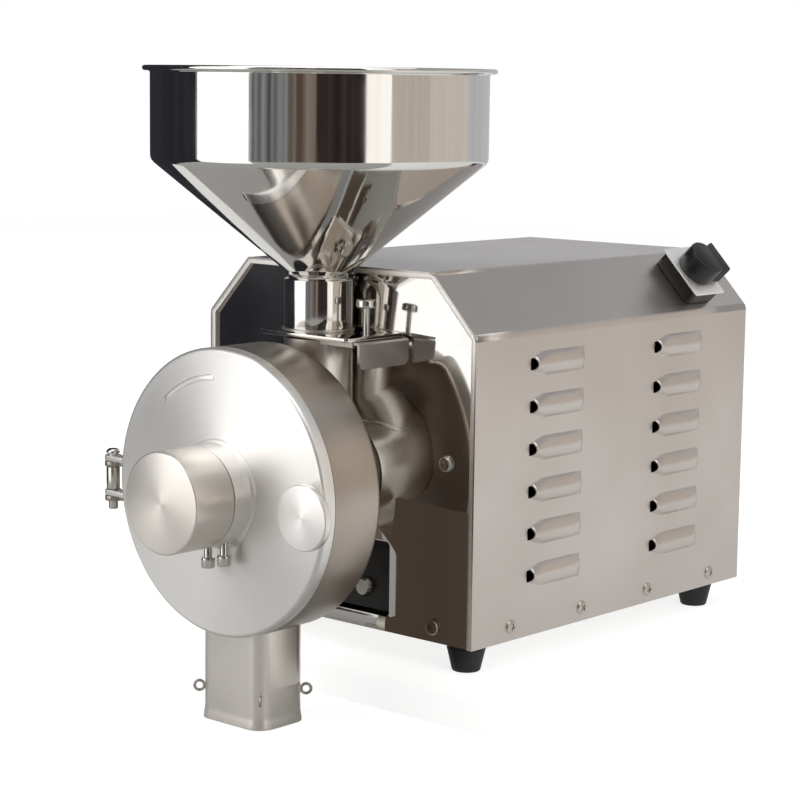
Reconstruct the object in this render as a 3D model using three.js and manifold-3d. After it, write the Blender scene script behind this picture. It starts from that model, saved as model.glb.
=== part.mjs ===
// A table-top disc mill for coffee and grain. A steel hopper feeds a short screw, which pushes the
// beans between a turning and a still disc inside a round chamber. A sheet-steel casing behind it
// holds the motor. Lengths are millimetres, +Z is up and +Y points to the rear. While it is built,
// X is 0 on the mill's axis, Y is 0 at the casing's front edge and Z is 0 at its bottom edge.

import * as THREE from "three";
import { mergeGeometries, mergeVertices } from "three/addons/utils/BufferGeometryUtils.js";
import Module from "manifold-3d";

const wasm = await Module();
wasm.setup();

// Shared by many pieces
const MERGE_DISTANCE = 0.0004;
const GAP = 0.3;
const OVERRUN = 2;
const LARGE_SIDES = 48;
const MEDIUM_SIDES = 24;
const SMALL_SIDES = 14;
const TINY_SIDES = 10;
const HEX_SIDES = 6;
const SHAPE_STEPS = 4;
// A rounded corner's middle lies this many radii from the corner's centre
const CORNER_BULGE = (3 / 4) * Math.SQRT2;
const TURN = 2 * Math.PI;

// Casing, which reaches a little further to the left of the mill's axis than to the right
const CASE_WIDTH = 234.5;
const CASE_SHIFT = -4.75;
const CASE_HEIGHT = 235;
const CASE_LENGTH = 301;
const CHAMFER_WIDTH = 36;
const CHAMFER_HEIGHT = 38;
const SHELL_SHEET = 1.5;
const PANEL_SHEET = 2;
const PANEL_RECESS = 1.5;
const TRAY_SHEET = 2;
const TRAY_FLANGE = 18;

// Louvres pressed out of both sides, open at their front end
const LOUVRE_ROWS = 6;
const LOUVRE_TOP_INSET = 58.8;
const LOUVRE_BOTTOM_ROW = 39.2;
const LOUVRE_LENGTH = 52;
const LOUVRE_HEIGHT = 15;
const LOUVRE_BULGE = 4.5;
const LOUVRE_SHEET = 1.1;
const LOUVRE_SLOT_LEAD = 3;
const LOUVRE_FIRST_COLUMN = 58;
const LOUVRE_LAST_INSET = 108;
const LOUVRE_ARC_STEPS = 6;
const LOUVRE_TAPER_SHARES = [[0.8, 1], [0.93, 0.75], [1, 0.2]];

// Screws of the casing
const SIDE_SCREW_COUNT = 4;
const SIDE_SCREW_FIRST = 39;
const SIDE_SCREW_LAST_INSET = 37;
const SIDE_SCREW_LEVEL = 9;
const SIDE_SCREW_HEAD_RADIUS = 4.6;
const SIDE_SCREW_HEAD_HEIGHT = 2;
const SIDE_SCREW_SHANK_RADIUS = 2;
const SIDE_SCREW_LENGTH = 9;
const PANEL_BOLT_UPPER_INSET = 23.5;
const PANEL_BOLT_UPPER_DROP = 119;
const PANEL_BOLT_LOWER_INSET = 32.5;
const PANEL_BOLT_LOWER_LEVEL = 10;
const PANEL_BOLT_HEAD_RADIUS = 5;
const PANEL_BOLT_HEAD_HEIGHT = 3;
const PANEL_BOLT_SHANK_RADIUS = 2.5;
const PANEL_BOLT_LENGTH = 12;
const PANEL_BOSS_RADIUS = 6;
const PANEL_BOSS_LENGTH = 6;

// Height of the machine's main axis, which the motor, the chamber and the feed have in common. It
// goes up and down with the casing, so that the motor stays between the tray and the top.
const AXIS_LEVEL_SHARE = 20 / 47;
const AXIS_LEVEL = CASE_HEIGHT * AXIS_LEVEL_SHARE;

// Openings of the two end panels
const WINDOW_HALF_WIDTH = 42;
const WINDOW_BOTTOM = 10;
const WINDOW_DROP = 41;
const WINDOW_CORNER = 3;
const VENT_SLOT_COUNT = 7;
const VENT_SLOT_LENGTH = 96;
const VENT_SLOT_WIDTH = 7;
const VENT_SLOT_PITCH = 15;
const GLAND_INSET = 39;
const GLAND_LEVEL = 26;
const GLAND_SHANK_RADIUS = 8;
const GLAND_FLANGE_RADIUS = 11.5;
const GLAND_FLANGE_LENGTH = 4;
const GLAND_NOSE_RADIUS = 7.5;
const GLAND_NOSE_LENGTH = 10;
const GLAND_BORE_RADIUS = 4;
const GLAND_SHANK_LENGTH = 9;

// Feet
const FOOT_TOP_RADIUS = 12.5;
const FOOT_BOTTOM_RADIUS = 9;
const FOOT_HEIGHT = 17;
const FOOT_SIDE_INSET = 15.5;
const FOOT_FRONT_INSET = 14;
const FOOT_REAR_INSET = 32;
const FOOT_RECESS_RADIUS = 4.5;
const FOOT_RECESS_DEPTH = 6;
const FOOT_ROUNDING = 1;

// Grinding chamber, a round housing whose axis is the machine's main axis
const CHAMBER_RADIUS = 90;
const CHAMBER_WALL = 7;
const CHAMBER_FRONT = -101;
const CHAMBER_REAR = -59;
const CHAMBER_BACK_WALL = 8;
const CHAMBER_EDGE = 3;
const OUTLET_WIDTH = 46;
const OUTLET_DEPTH = 30;
const OUTLET_CORNER = 9;

// Hinged cover with the hub that carries the fineness screw
const COVER_THICKNESS = 9.3;
const COVER_EDGE = 2;
const COVER_LIP_HEIGHT = 3;
const COVER_LIP_WIDTH = 3;
const HUB_FLANGE_RADIUS = 34;
const HUB_FLANGE_LENGTH = 2.6;
const HUB_LENGTH = 15.8;
const NOSE_RADIUS = 22;
const NOSE_LENGTH = 16.5;

// Hinge on the left
const HINGE_STANDOFF = 13;
const HINGE_OFFSET = CHAMBER_RADIUS + HINGE_STANDOFF;
const HINGE_Y = -105;
const HINGE_PIN_RADIUS = 3.1;
const HINGE_BARREL_RADIUS = 4.4;
const HINGE_EYE_RADIUS = 5.4;
const HINGE_REACH_DOWN = 24;
const HINGE_REACH_UP = 15.5;
const HINGE_HEAD_HEIGHT = 3;
const HINGE_LUG_HEIGHT = 3.5;
const HINGE_UPPER_LUG_RISE = 4;
const HINGE_LOWER_LUG_DROP = 18.5;

// Clamp knob on the right, with its captive washer
const CLAMP_INSET = 6;
const CLAMP_OFFSET = CHAMBER_RADIUS - CLAMP_INSET;
const CLAMP_DROP = 2;
const CLAMP_STUD_RADIUS = 4;
const CLAMP_HOLE_CLEARANCE = 1.1;
const CLAMP_STUD_REACH = 11;
const CLAMP_BOSS_RADIUS = 9.5;
const CLAMP_BOSS_LENGTH = 22;
const CLAMP_KNOB_RADIUS = 20;
const CLAMP_KNOB_RIM = 5;
const CLAMP_KNOB_NECK_RADIUS = 9;
const CLAMP_KNOB_LENGTH = 12.6;
const CLAMP_KNOB_EDGE = 1.2;
const WASHER_RADIUS = 11;
const WASHER_THICKNESS = 1.5;

// Grinding discs, their furrows and what carries them
const DISC_INSET = 24;
const DISC_RADIUS = CHAMBER_RADIUS - DISC_INSET;
const DISC_THICKNESS = 8;
const DISC_FACE_GAP = 0.9;
const FIXED_DISC_FACE = -87.2;
const FIXED_DISC_BORE = 17;
const FURROW_COUNT = 18;
const FURROW_WIDTH = 3.2;
const FURROW_DEPTH = 2.4;
const FURROW_START = 37;
const FURROW_SLANT = THREE.MathUtils.degToRad(24);
const FEED_WINDOW_COUNT = 3;
const FEED_WINDOW_INNER = 19;
const FEED_WINDOW_OUTER = 31;
const FEED_WINDOW_ANGLE = THREE.MathUtils.degToRad(82);
const DISC_HUB_RADIUS = 16;
const DISC_HUB_LENGTH = 6;
const DISC_NUT_RADIUS = 13;
const DISC_NUT_LENGTH = 4.2;
const DISC_NUT_RECESS_RADIUS = 14.5;
const CARRIER_PLATE_RADIUS = 45;
const CARRIER_PLATE_THICKNESS = 3.5;
const CARRIER_HUB_RADIUS = 11;
const CARRIER_HUB_LENGTH = 28;

// Fineness knob, its screw and the two lock screws below it
const KNOB_RADIUS = 31.5;
const KNOB_FRONT = -158.6;
const KNOB_FACE_THICKNESS = 11;
const KNOB_SKIRT_GAP = 0.6;
const KNOB_SKIRT_WALL = 8;
const KNOB_EDGE = 1.5;
const SCREW_RADIUS = 6;
const SCREW_SEAT_DEPTH = 5;
const LOCK_SCREW_OFFSETS = [0, 14];
const LOCK_SCREW_Y = -119;
const LOCK_SCREW_RADIUS = 2.5;
const LOCK_SCREW_BITE = 6;
const LOCK_SCREW_NECK = 7;
const LOCK_SCREW_HEAD_RADIUS = 4.3;
const LOCK_SCREW_HEAD_LENGTH = 6.5;

// Discharge spout under the chamber and the wire eyes that hold a bag
const SPOUT_WIDTH = 55;
const SPOUT_DEPTH = 42;
const SPOUT_CORNER = 12;
const SPOUT_WALL = 1.6;
const SPOUT_BOTTOM = -48;
const SPOUT_FLARE = 0.9;
const SPOUT_FLARE_HEIGHT = 7;
const EYE_RING_RADIUS = 3.1;
const EYE_WIRE_RADIUS = 0.95;
const EYE_RISE = 20;
const EYE_LEVEL = SPOUT_BOTTOM + EYE_RISE;

// Feed throat, its upright tube and the feed screw
const THROAT_RADIUS = 34;
const THROAT_BORE_RADIUS = 27;
const THROAT_BACK_WALL = 15.7;
const THROAT_END = 7.7;
const TUBE_RADIUS = 22;
const TUBE_BORE_RADIUS = 19.5;
const TUBE_X = 2.4;
const TUBE_Y = -24.6;
const FLIGHT_RADIUS = 25;
const FLIGHT_CORE_RADIUS = 13;
const FLIGHT_PITCH = 36;
const FLIGHT_THICKNESS = 4;
const FLIGHT_TURNS = 1.55;
const FLIGHT_STEPS_PER_TURN = 20;
const AUGER_FRONT = -69;
const AUGER_REAR = -9;

// Slide gate under the hopper collar
const PLATE_DROP = 39;
const PLATE_TOP = CASE_HEIGHT - PLATE_DROP;
const PLATE_THICKNESS = 2.5;
const PLATE_LEFT = -30;
const PLATE_RIGHT = 56;
const PLATE_FRONT = -56;
const PLATE_REAR = -1;
const PLATE_ROUND_CORNER = 20;
const PLATE_SMALL_CORNER = 4;
const GATE_SHEET = 1.7;
const GATE_RAIL_END = 50;
const GATE_RAIL_WIDTH = 3;
const GATE_LIP_WIDTH = 6;
const GATE_LIP_THICKNESS = 2;
const GATE_TAB_GAP = 2;
const GATE_TAB_WIDTH = 46;
const GATE_TAB_DROP = 17;
const GATE_TAB_CORNER = 6;
const COLLAR_HEIGHT = 32;
const COLLAR_TOP = PLATE_TOP + COLLAR_HEIGHT;
const COLLAR_BORE_RADIUS = 20;
const GATE_SCREW_X = 42;
const GATE_SCREW_Y = -23;
const GATE_SCREW_RADIUS = 2;
const GATE_SCREW_RISE = 21.5;
const GATE_SCREW_HEAD_RADIUS = 6.5;
const GATE_SCREW_HEAD_HEIGHT = 5.5;

// Hopper
const HOPPER_RADIUS = 106.3;
const HOPPER_SHEET = 1.2;
const HOPPER_SPIGOT_RADIUS = 19.3;
const HOPPER_CONE_GAP = 3;
const HOPPER_CONE_BOTTOM = COLLAR_TOP + HOPPER_CONE_GAP;
const HOPPER_CONE_HEIGHT = 71.3;
const HOPPER_WALL_HEIGHT = 58.2;
const HOPPER_RIM_REACH = 5;
const HOPPER_RIM_HEIGHT = 3.4;
const HOPPER_RIM_ROUND = 0.9;

// Motor
const SHAFT_RADIUS = 9;
const SHAFT_ROTOR_RADIUS = 12;
const SHAFT_OVERHANG = 6;
const STATOR_SIDE_GAP = 19;
const STATOR_RADIUS = CASE_WIDTH / 2 + CASE_SHIFT - PANEL_BOLT_UPPER_INSET - STATOR_SIDE_GAP;
const STATOR_WALL = 16;
const STATOR_FRONT = 24;
const STATOR_REAR_INSET = 117;
const STATOR_REAR = CASE_LENGTH - STATOR_REAR_INSET;
const STATOR_FOOT_HALF_WIDTH = 52;
const STATOR_FOOT_LAP = 8;
const STATOR_FOOT_LENGTH = 22;
const STATOR_FOOT_INSET = 18;
const ROTOR_GAP = 1.5;
const ROTOR_INSET = 20;
const BELL_OVERHANG = 2;
const BELL_WEB = 5;
const BELL_RIM = 8;
const BELL_FRONT = 8;
const BELL_REAR_LENGTH = 15;
const BELL_HUB_WALL = 7;
const BEARING_RADIUS = 17.5;
const BEARING_WIDTH = 12;
const SEAL_RADIUS = 16;
const SEAL_WIDTH = 9;
const SEAL_FRONT = -6;
const BRACKET_HALF_WIDTH = 50;
const BRACKET_FRONT = 6;
const BRACKET_BOTTOM = 12;
const BRACKET_DROP = 38;
const BRACKET_TOP = AXIS_LEVEL - BRACKET_DROP;
const MOTOR_BOLT_OFFSET = 18;
const MOTOR_BOLT_HEIGHT_SHARE = 0.28;
const MOTOR_BOLT_RADIUS = 4;
const MOTOR_BOLT_HEAD_RADIUS = 6.5;
const MOTOR_BOLT_HEAD_HEIGHT = 4.5;
const MOTOR_BOLT_LENGTH = 12;
const FAN_BELL_GAP = 5;
const FAN_LENGTH = 16;
const FAN_HUB_RADIUS = 16;
const FAN_INSET = 12;
const FAN_BLADE_COUNT = 6;
const FAN_BLADE_THICKNESS = 2.5;
const CAPACITOR_RADIUS = 17;
const CAPACITOR_LENGTH = 70;
const CAPACITOR_PLACE_SHARE = 23 / 45;
const CAPACITOR_SPARE = STATOR_REAR - STATOR_FRONT - CAPACITOR_LENGTH;
const CAPACITOR_FRONT = STATOR_FRONT + CAPACITOR_SPARE * CAPACITOR_PLACE_SHARE;
const CAPACITOR_BAND_INSET = 12;
const CAPACITOR_BAND_WIDTH = 8;
const CAPACITOR_BAND_HEIGHT = 1.6;

// Changeover switch on the right chamfer
const SWITCH_REAR_INSET = 53;
const SWITCH_LENGTH = 34.5;
const SWITCH_WIDTH = 41.5;
const SWITCH_BODY_INSET = 1.5;
const SWITCH_BODY_HEIGHT = 10.4;
const SWITCH_BODY_CORNER = 4;
const SWITCH_PLATE_THICKNESS = 1.2;
const SWITCH_PLATE_CORNER = 1.5;
const SWITCH_PLATE_HOLE = 6.3;
const SWITCH_SPINDLE_RADIUS = 5.6;
const SWITCH_KNOB_RADIUS = 13.6;
const SWITCH_KNOB_HEIGHT = 14.8;
const SWITCH_KNOB_ROOT = 8;
const SWITCH_TAIL_REACH = 17;
const SWITCH_TAIL_HALF_WIDTH = 13;
const SWITCH_TAIL_ROOT_HALF_WIDTH = 8.5;
const SWITCH_TAIL_EDGE = 2.5;

// Materials, colours as seen
function metal(color, roughness) {
  return new THREE.MeshStandardMaterial({ color, roughness, metalness: 1 });
}

function dull(color, roughness) {
  return new THREE.MeshStandardMaterial({ color, roughness, metalness: 0 });
}

const MIRROR_STEEL = metal("#d9d9d6", 0.08);
const SATIN_STEEL = metal("#c3beb8", 0.35);
const TURNED_STEEL = metal("#d2cfca", 0.28);
const GROUND_STEEL = metal("#9b9a97", 0.45);
const BRIGHT_ZINC = metal("#c9c8c2", 0.3);
const BLACK_PAINT = dull("#1d1d1e", 0.5);
const BLACK_RUBBER = dull("#18181a", 0.85);
const BLACK_PLASTIC = dull("#202123", 0.4);
const GREY_PLASTIC = dull("#b9bbb8", 0.5);
const WINDING_STEEL = metal("#6f6c69", 0.6);

// A closed surface with shared corners and its faces turned outwards
function closed(geometry) {
  const plain = geometry.clone();
  plain.deleteAttribute("normal");
  plain.deleteAttribute("uv");
  const merged = mergeVertices(plain, MERGE_DISTANCE);
  const place = merged.getAttribute("position");
  const corner = [new THREE.Vector3(), new THREE.Vector3(), new THREE.Vector3()];
  const kept = [];
  let volume = 0;
  for (let i = 0; i < merged.index.count; i += 3) {
    const face = [0, 1, 2].map((step) => merged.index.getX(i + step));
    if (face[0] === face[1] || face[1] === face[2] || face[2] === face[0]) continue;
    kept.push(...face);
    face.forEach((vertex, step) => corner[step].fromBufferAttribute(place, vertex));
    volume += corner[0].dot(corner[1].cross(corner[2]));
  }
  if (volume < 0) kept.reverse();
  merged.setIndex(kept);
  return merged;
}

function toSolid(geometry) {
  const surface = closed(geometry);
  const vertProperties = new Float32Array(surface.getAttribute("position").array);
  const triVerts = new Uint32Array(surface.index.array);
  return new wasm.Manifold(new wasm.Mesh({ numProp: 3, vertProperties, triVerts }));
}

function toGeometry(solid) {
  const mesh = solid.getMesh();
  const geometry = new THREE.BufferGeometry();
  geometry.setAttribute("position", new THREE.BufferAttribute(mesh.vertProperties, mesh.numProp));
  geometry.setIndex(new THREE.BufferAttribute(mesh.triVerts, 1));
  return geometry;
}

// Joins the added geometries to the base and then takes the cut ones away
function build(base, added = [], cuts = []) {
  let solid = toSolid(base);
  for (const geometry of added) solid = solid.add(toSolid(geometry));
  for (const geometry of cuts) solid = solid.subtract(toSolid(geometry));
  return toGeometry(solid);
}

function common(first, second) {
  return toGeometry(toSolid(first).intersect(toSolid(second)));
}

// A turned piece about the Y axis: the profile is a list of [radius, distance along Y]
function turned(profile, sides) {
  const points = profile.map(([radius, along]) => new THREE.Vector2(radius, along));
  const last = profile[profile.length - 1];
  if (profile[0][0] !== 0 || last[0] !== 0) points.push(points[0].clone());
  return new THREE.LatheGeometry(points, sides);
}

// A turned piece about the Z axis: the profile is a list of [radius, height]
function turnedUp(profile, sides) {
  return turned(profile, sides).rotateX(Math.PI / 2);
}

function rod(radius, from, to, sides) {
  return turned([[0, from], [radius, from], [radius, to], [0, to]], sides);
}

function post(radius, from, to, sides) {
  return rod(radius, from, to, sides).rotateX(Math.PI / 2);
}

function tube(inner, outer, from, to, sides) {
  return turned([[inner, from], [outer, from], [outer, to], [inner, to]], sides);
}

function block(left, right, front, rear, bottom, top) {
  const box = new THREE.BoxGeometry(right - left, rear - front, top - bottom);
  return box.translate((left + right) / 2, (front + rear) / 2, (bottom + top) / 2);
}

function raised(shape, from, to) {
  const options = { depth: to - from, bevelEnabled: false, curveSegments: SHAPE_STEPS };
  return new THREE.ExtrudeGeometry(shape, options).translate(0, 0, from);
}

// The shape's own upright direction becomes Z, and it runs along Y
function drawnBack(shape, from, to) {
  return raised(shape, 0, to - from).rotateX(Math.PI / 2).translate(0, to, 0);
}

function outline(points) {
  return new THREE.Shape(points.map(([across, up]) => new THREE.Vector2(across, up)));
}

function roundedCorner(shape, corner, before, after, radius) {
  const into = new THREE.Vector2().subVectors(before, corner).setLength(radius).add(corner);
  const out = new THREE.Vector2().subVectors(after, corner).setLength(radius).add(corner);
  shape.lineTo(into.x, into.y);
  shape.quadraticCurveTo(corner.x, corner.y, out.x, out.y);
}

// A polygon whose corners are rounded by the radius listed with each
function softOutline(corners) {
  const points = corners.map(([across, up]) => new THREE.Vector2(across, up));
  const count = points.length;
  const shape = new THREE.Shape();
  const start = points[0].clone().add(points[count - 1]).multiplyScalar(1 / 2);
  shape.moveTo(start.x, start.y);
  points.forEach((point, i) => {
    const before = points[(i + count - 1) % count];
    const after = points[(i + 1) % count];
    if (corners[i][2] > 0) roundedCorner(shape, point, before, after, corners[i][2]);
    else shape.lineTo(point.x, point.y);
  });
  shape.closePath();
  return shape;
}

function roundedRectangle(left, right, bottom, top, radius) {
  return softOutline([[left, bottom, radius], [right, bottom, radius], [right, top, radius],
    [left, top, radius]]);
}

// A skin over a row of closed sections that hold the same number of points
function loft(sections) {
  const count = sections[0].length;
  const points = sections.flat();
  const faces = [];
  for (let row = 0; row + 1 < sections.length; row += 1) {
    for (let i = 0; i < count; i += 1) {
      const next = (i + 1) % count;
      const a = row * count + i;
      const b = row * count + next;
      faces.push(a, b, b + count, a, b + count, a + count);
    }
  }
  for (const [row, flip] of [[0, true], [sections.length - 1, false]]) {
    const flat = sections[row];
    const centre = flat.reduce((sum, point) => sum.add(point), new THREE.Vector3());
    points.push(centre.multiplyScalar(1 / count));
    const middle = points.length - 1;
    for (let i = 0; i < count; i += 1) {
      const a = row * count + i;
      const b = row * count + ((i + 1) % count);
      faces.push(...(flip ? [b, a, middle] : [a, b, middle]));
    }
  }
  const geometry = new THREE.BufferGeometry().setFromPoints(points);
  geometry.setIndex(faces);
  return geometry.toNonIndexed();
}

function mirrored(geometry) {
  return geometry.clone().scale(-1, 1, 1);
}

// Casing outline, moved in from the outside of the sheet by the inset
function casingCorners(inset) {
  const half = CASE_WIDTH / 2 - inset;
  const top = CASE_HEIGHT - inset;
  const slope = Math.hypot(CHAMFER_WIDTH, CHAMFER_HEIGHT);
  const shoulder = CASE_HEIGHT - CHAMFER_HEIGHT;
  const reach = (CASE_WIDTH / 2) * CHAMFER_HEIGHT + shoulder * CHAMFER_WIDTH - inset * slope;
  const right = [
    [half, 0],
    [half, (reach - half * CHAMFER_HEIGHT) / CHAMFER_WIDTH],
    [(reach - top * CHAMFER_WIDTH) / CHAMFER_HEIGHT, top],
  ];
  const left = right.map(([across, up]) => [-across, up]).reverse();
  return [...right, ...left];
}

// Half-elliptic sections of one louvre, drawn along Y from its open end
function louvreSkin(inset, root, lead) {
  const halfHeight = LOUVRE_HEIGHT / 2 - inset;
  const bulge = LOUVRE_BULGE - inset;
  const length = LOUVRE_LENGTH - inset;
  const section = (along, share) => {
    const points = [];
    for (let i = 0; i <= LOUVRE_ARC_STEPS; i += 1) {
      const angle = (Math.PI * i) / LOUVRE_ARC_STEPS;
      const up = Math.cos(angle) * halfHeight * (1 + share) / 2;
      points.push(new THREE.Vector3(Math.sin(angle) * bulge * share, along, up));
    }
    const last = points[points.length - 1];
    points.push(new THREE.Vector3(root, along, last.z));
    points.push(new THREE.Vector3(root, along, points[0].z));
    return points;
  };
  const rows = LOUVRE_TAPER_SHARES.map(([along, share]) => section(along * length, share));
  return loft([section(-lead, 1), ...rows]);
}

function eachLouvre(geometry) {
  const copies = [];
  const topRow = CASE_HEIGHT - LOUVRE_TOP_INSET;
  const pitch = (topRow - LOUVRE_BOTTOM_ROW) / (LOUVRE_ROWS - 1);
  for (const front of [LOUVRE_FIRST_COLUMN, CASE_LENGTH - LOUVRE_LAST_INSET]) {
    for (let row = 0; row < LOUVRE_ROWS; row += 1) {
      const level = topRow - row * pitch;
      const copy = closed(geometry).translate(CASE_WIDTH / 2, front, level);
      copies.push(copy, closed(mirrored(copy)));
    }
  }
  return mergeGeometries(copies);
}

function sideScrewPlaces() {
  const places = [];
  const last = CASE_LENGTH - SIDE_SCREW_LAST_INSET;
  const step = (last - SIDE_SCREW_FIRST) / (SIDE_SCREW_COUNT - 1);
  for (let i = 0; i < SIDE_SCREW_COUNT; i += 1) {
    places.push(SIDE_SCREW_FIRST + i * step);
  }
  return places;
}

// Clearance holes through both side walls, low down
function sideScrewHoles() {
  const reach = CASE_WIDTH / 2 + OVERRUN;
  return sideScrewPlaces().map((along) => {
    const hole = rod(SIDE_SCREW_SHANK_RADIUS + GAP, -reach, reach, TINY_SIDES);
    return hole.rotateZ(Math.PI / 2).translate(0, along, SIDE_SCREW_LEVEL);
  });
}

function casingShell() {
  const outer = casingCorners(0);
  const inner = casingCorners(SHELL_SHEET).reverse();
  const wall = drawnBack(outline([...outer, ...inner]), 0, CASE_LENGTH);
  const hoods = eachLouvre(louvreSkin(0, -SHELL_SHEET / 2, 0));
  const hollows = eachLouvre(louvreSkin(LOUVRE_SHEET, -SHELL_SHEET - OVERRUN, LOUVRE_SLOT_LEAD));
  return build(wall, [hoods], [hollows, ...sideScrewHoles()]);
}

function panelBoltPlaces() {
  const upper = CASE_WIDTH / 2 - PANEL_BOLT_UPPER_INSET;
  const lower = CASE_WIDTH / 2 - PANEL_BOLT_LOWER_INSET;
  const upperLevel = CASE_HEIGHT - PANEL_BOLT_UPPER_DROP;
  return [[upper, upperLevel], [-upper, upperLevel],
    [lower, PANEL_BOLT_LOWER_LEVEL], [-lower, PANEL_BOLT_LOWER_LEVEL]];
}

// The end panels are drawn about the casing's middle plane, and the mill's axis lies beside it
function axisOffset() {
  return -CASE_SHIFT;
}

function endPanel(from) {
  return drawnBack(outline(casingCorners(SHELL_SHEET + GAP)), from, from + PANEL_SHEET);
}

function frontPanel() {
  const back = PANEL_RECESS + PANEL_SHEET;
  const window = roundedRectangle(-WINDOW_HALF_WIDTH, WINDOW_HALF_WIDTH, WINDOW_BOTTOM,
    AXIS_LEVEL - WINDOW_DROP, WINDOW_CORNER);
  const throatHole = rod(THROAT_RADIUS + 2 * GAP, -OVERRUN, back + OVERRUN, LARGE_SIDES);
  const cuts = [
    drawnBack(window, -OVERRUN, back + OVERRUN).translate(axisOffset(), 0, 0),
    throatHole.translate(axisOffset(), 0, AXIS_LEVEL),
  ];
  const bosses = [];
  for (const [across, up] of panelBoltPlaces()) {
    const boss = rod(PANEL_BOSS_RADIUS, back - PANEL_SHEET / 2, back + PANEL_BOSS_LENGTH, SMALL_SIDES);
    bosses.push(boss.translate(across, 0, up));
    const reach = back + PANEL_BOSS_LENGTH + OVERRUN;
    const hole = rod(PANEL_BOLT_SHANK_RADIUS + GAP, -OVERRUN, reach, TINY_SIDES);
    cuts.push(hole.translate(across, 0, up));
  }
  return build(endPanel(PANEL_RECESS), bosses, cuts);
}

function rearPanel() {
  const front = CASE_LENGTH - PANEL_RECESS - PANEL_SHEET;
  const reach = CASE_LENGTH + OVERRUN;
  const half = VENT_SLOT_LENGTH / 2;
  const cuts = [];
  for (let i = 0; i < VENT_SLOT_COUNT; i += 1) {
    const level = AXIS_LEVEL + (i - (VENT_SLOT_COUNT - 1) / 2) * VENT_SLOT_PITCH;
    const low = level - VENT_SLOT_WIDTH / 2;
    const slot = roundedRectangle(-half, half, low, low + VENT_SLOT_WIDTH, VENT_SLOT_WIDTH / 2.1);
    cuts.push(drawnBack(slot, front - OVERRUN, reach).translate(axisOffset(), 0, 0));
  }
  const gland = rod(GLAND_SHANK_RADIUS + GAP, front - OVERRUN, reach, SMALL_SIDES);
  cuts.push(gland.translate(CASE_WIDTH / 2 - GLAND_INSET, 0, GLAND_LEVEL));
  return build(endPanel(front), [], cuts);
}

function baseTray() {
  const half = CASE_WIDTH / 2 - SHELL_SHEET - GAP;
  const inner = half - TRAY_SHEET;
  const section = outline([[-half, 0], [half, 0], [half, TRAY_FLANGE], [inner, TRAY_FLANGE],
    [inner, TRAY_SHEET], [-inner, TRAY_SHEET], [-inner, TRAY_FLANGE], [-half, TRAY_FLANGE]]);
  const front = PANEL_RECESS + PANEL_SHEET + GAP;
  return build(drawnBack(section, front, CASE_LENGTH - front), [bossNotchFiller()], [
    ...panelBossNotches(), ...sideScrewHoles()]);
}

// The tray's floor reaches under the motor feet in one flat piece
function bossNotchFiller() {
  const half = STATOR_FOOT_HALF_WIDTH;
  return block(axisOffset() - half, axisOffset() + half, STATOR_FRONT, STATOR_REAR, 0, TRAY_SHEET);
}

// The lowest bosses of the front panel pass over the tray's front edge
function panelBossNotches() {
  const radius = PANEL_BOSS_RADIUS + 2 * GAP;
  const reach = PANEL_RECESS + PANEL_SHEET + PANEL_BOLT_LENGTH;
  return panelBoltPlaces().filter(([, up]) => up < TRAY_FLANGE).map(([across, up]) => {
    return rod(radius, 0, reach, SMALL_SIDES).translate(across, 0, up);
  });
}

function foot() {
  const middle = -FOOT_HEIGHT + FOOT_RECESS_DEPTH;
  return turnedUp([[0, middle], [FOOT_RECESS_RADIUS, middle], [FOOT_RECESS_RADIUS, -FOOT_HEIGHT],
    [FOOT_BOTTOM_RADIUS - FOOT_ROUNDING, -FOOT_HEIGHT],
    [FOOT_BOTTOM_RADIUS, -FOOT_HEIGHT + FOOT_ROUNDING],
    [FOOT_TOP_RADIUS, -FOOT_ROUNDING], [FOOT_TOP_RADIUS, 0], [0, 0]], MEDIUM_SIDES);
}

// A round-headed screw that points along +Y, with the underside of its head at Y = 0
function headedScrew(headRadius, headHeight, shankRadius, length, sides) {
  const crown = headRadius * 0.8;
  return turned([[0, -headHeight], [crown, -headHeight], [headRadius, -headHeight / 3],
    [headRadius, 0], [shankRadius, 0], [shankRadius, length], [0, length]], sides);
}

function sideScrew() {
  return headedScrew(SIDE_SCREW_HEAD_RADIUS, SIDE_SCREW_HEAD_HEIGHT, SIDE_SCREW_SHANK_RADIUS,
    SIDE_SCREW_LENGTH, TINY_SIDES);
}

function panelBolt() {
  return headedScrew(PANEL_BOLT_HEAD_RADIUS, PANEL_BOLT_HEAD_HEIGHT, PANEL_BOLT_SHANK_RADIUS,
    PANEL_BOLT_LENGTH, TINY_SIDES);
}

function cableGland() {
  const panelFace = 0;
  const flange = panelFace + GLAND_FLANGE_LENGTH;
  const nose = flange + GLAND_NOSE_LENGTH;
  return turned([[GLAND_BORE_RADIUS, -GLAND_SHANK_LENGTH], [GLAND_SHANK_RADIUS, -GLAND_SHANK_LENGTH],
    [GLAND_SHANK_RADIUS, panelFace], [GLAND_FLANGE_RADIUS, panelFace],
    [GLAND_FLANGE_RADIUS, flange], [GLAND_NOSE_RADIUS + 1 / 2, flange],
    [GLAND_NOSE_RADIUS, nose], [GLAND_BORE_RADIUS, nose]], SMALL_SIDES);
}

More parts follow.
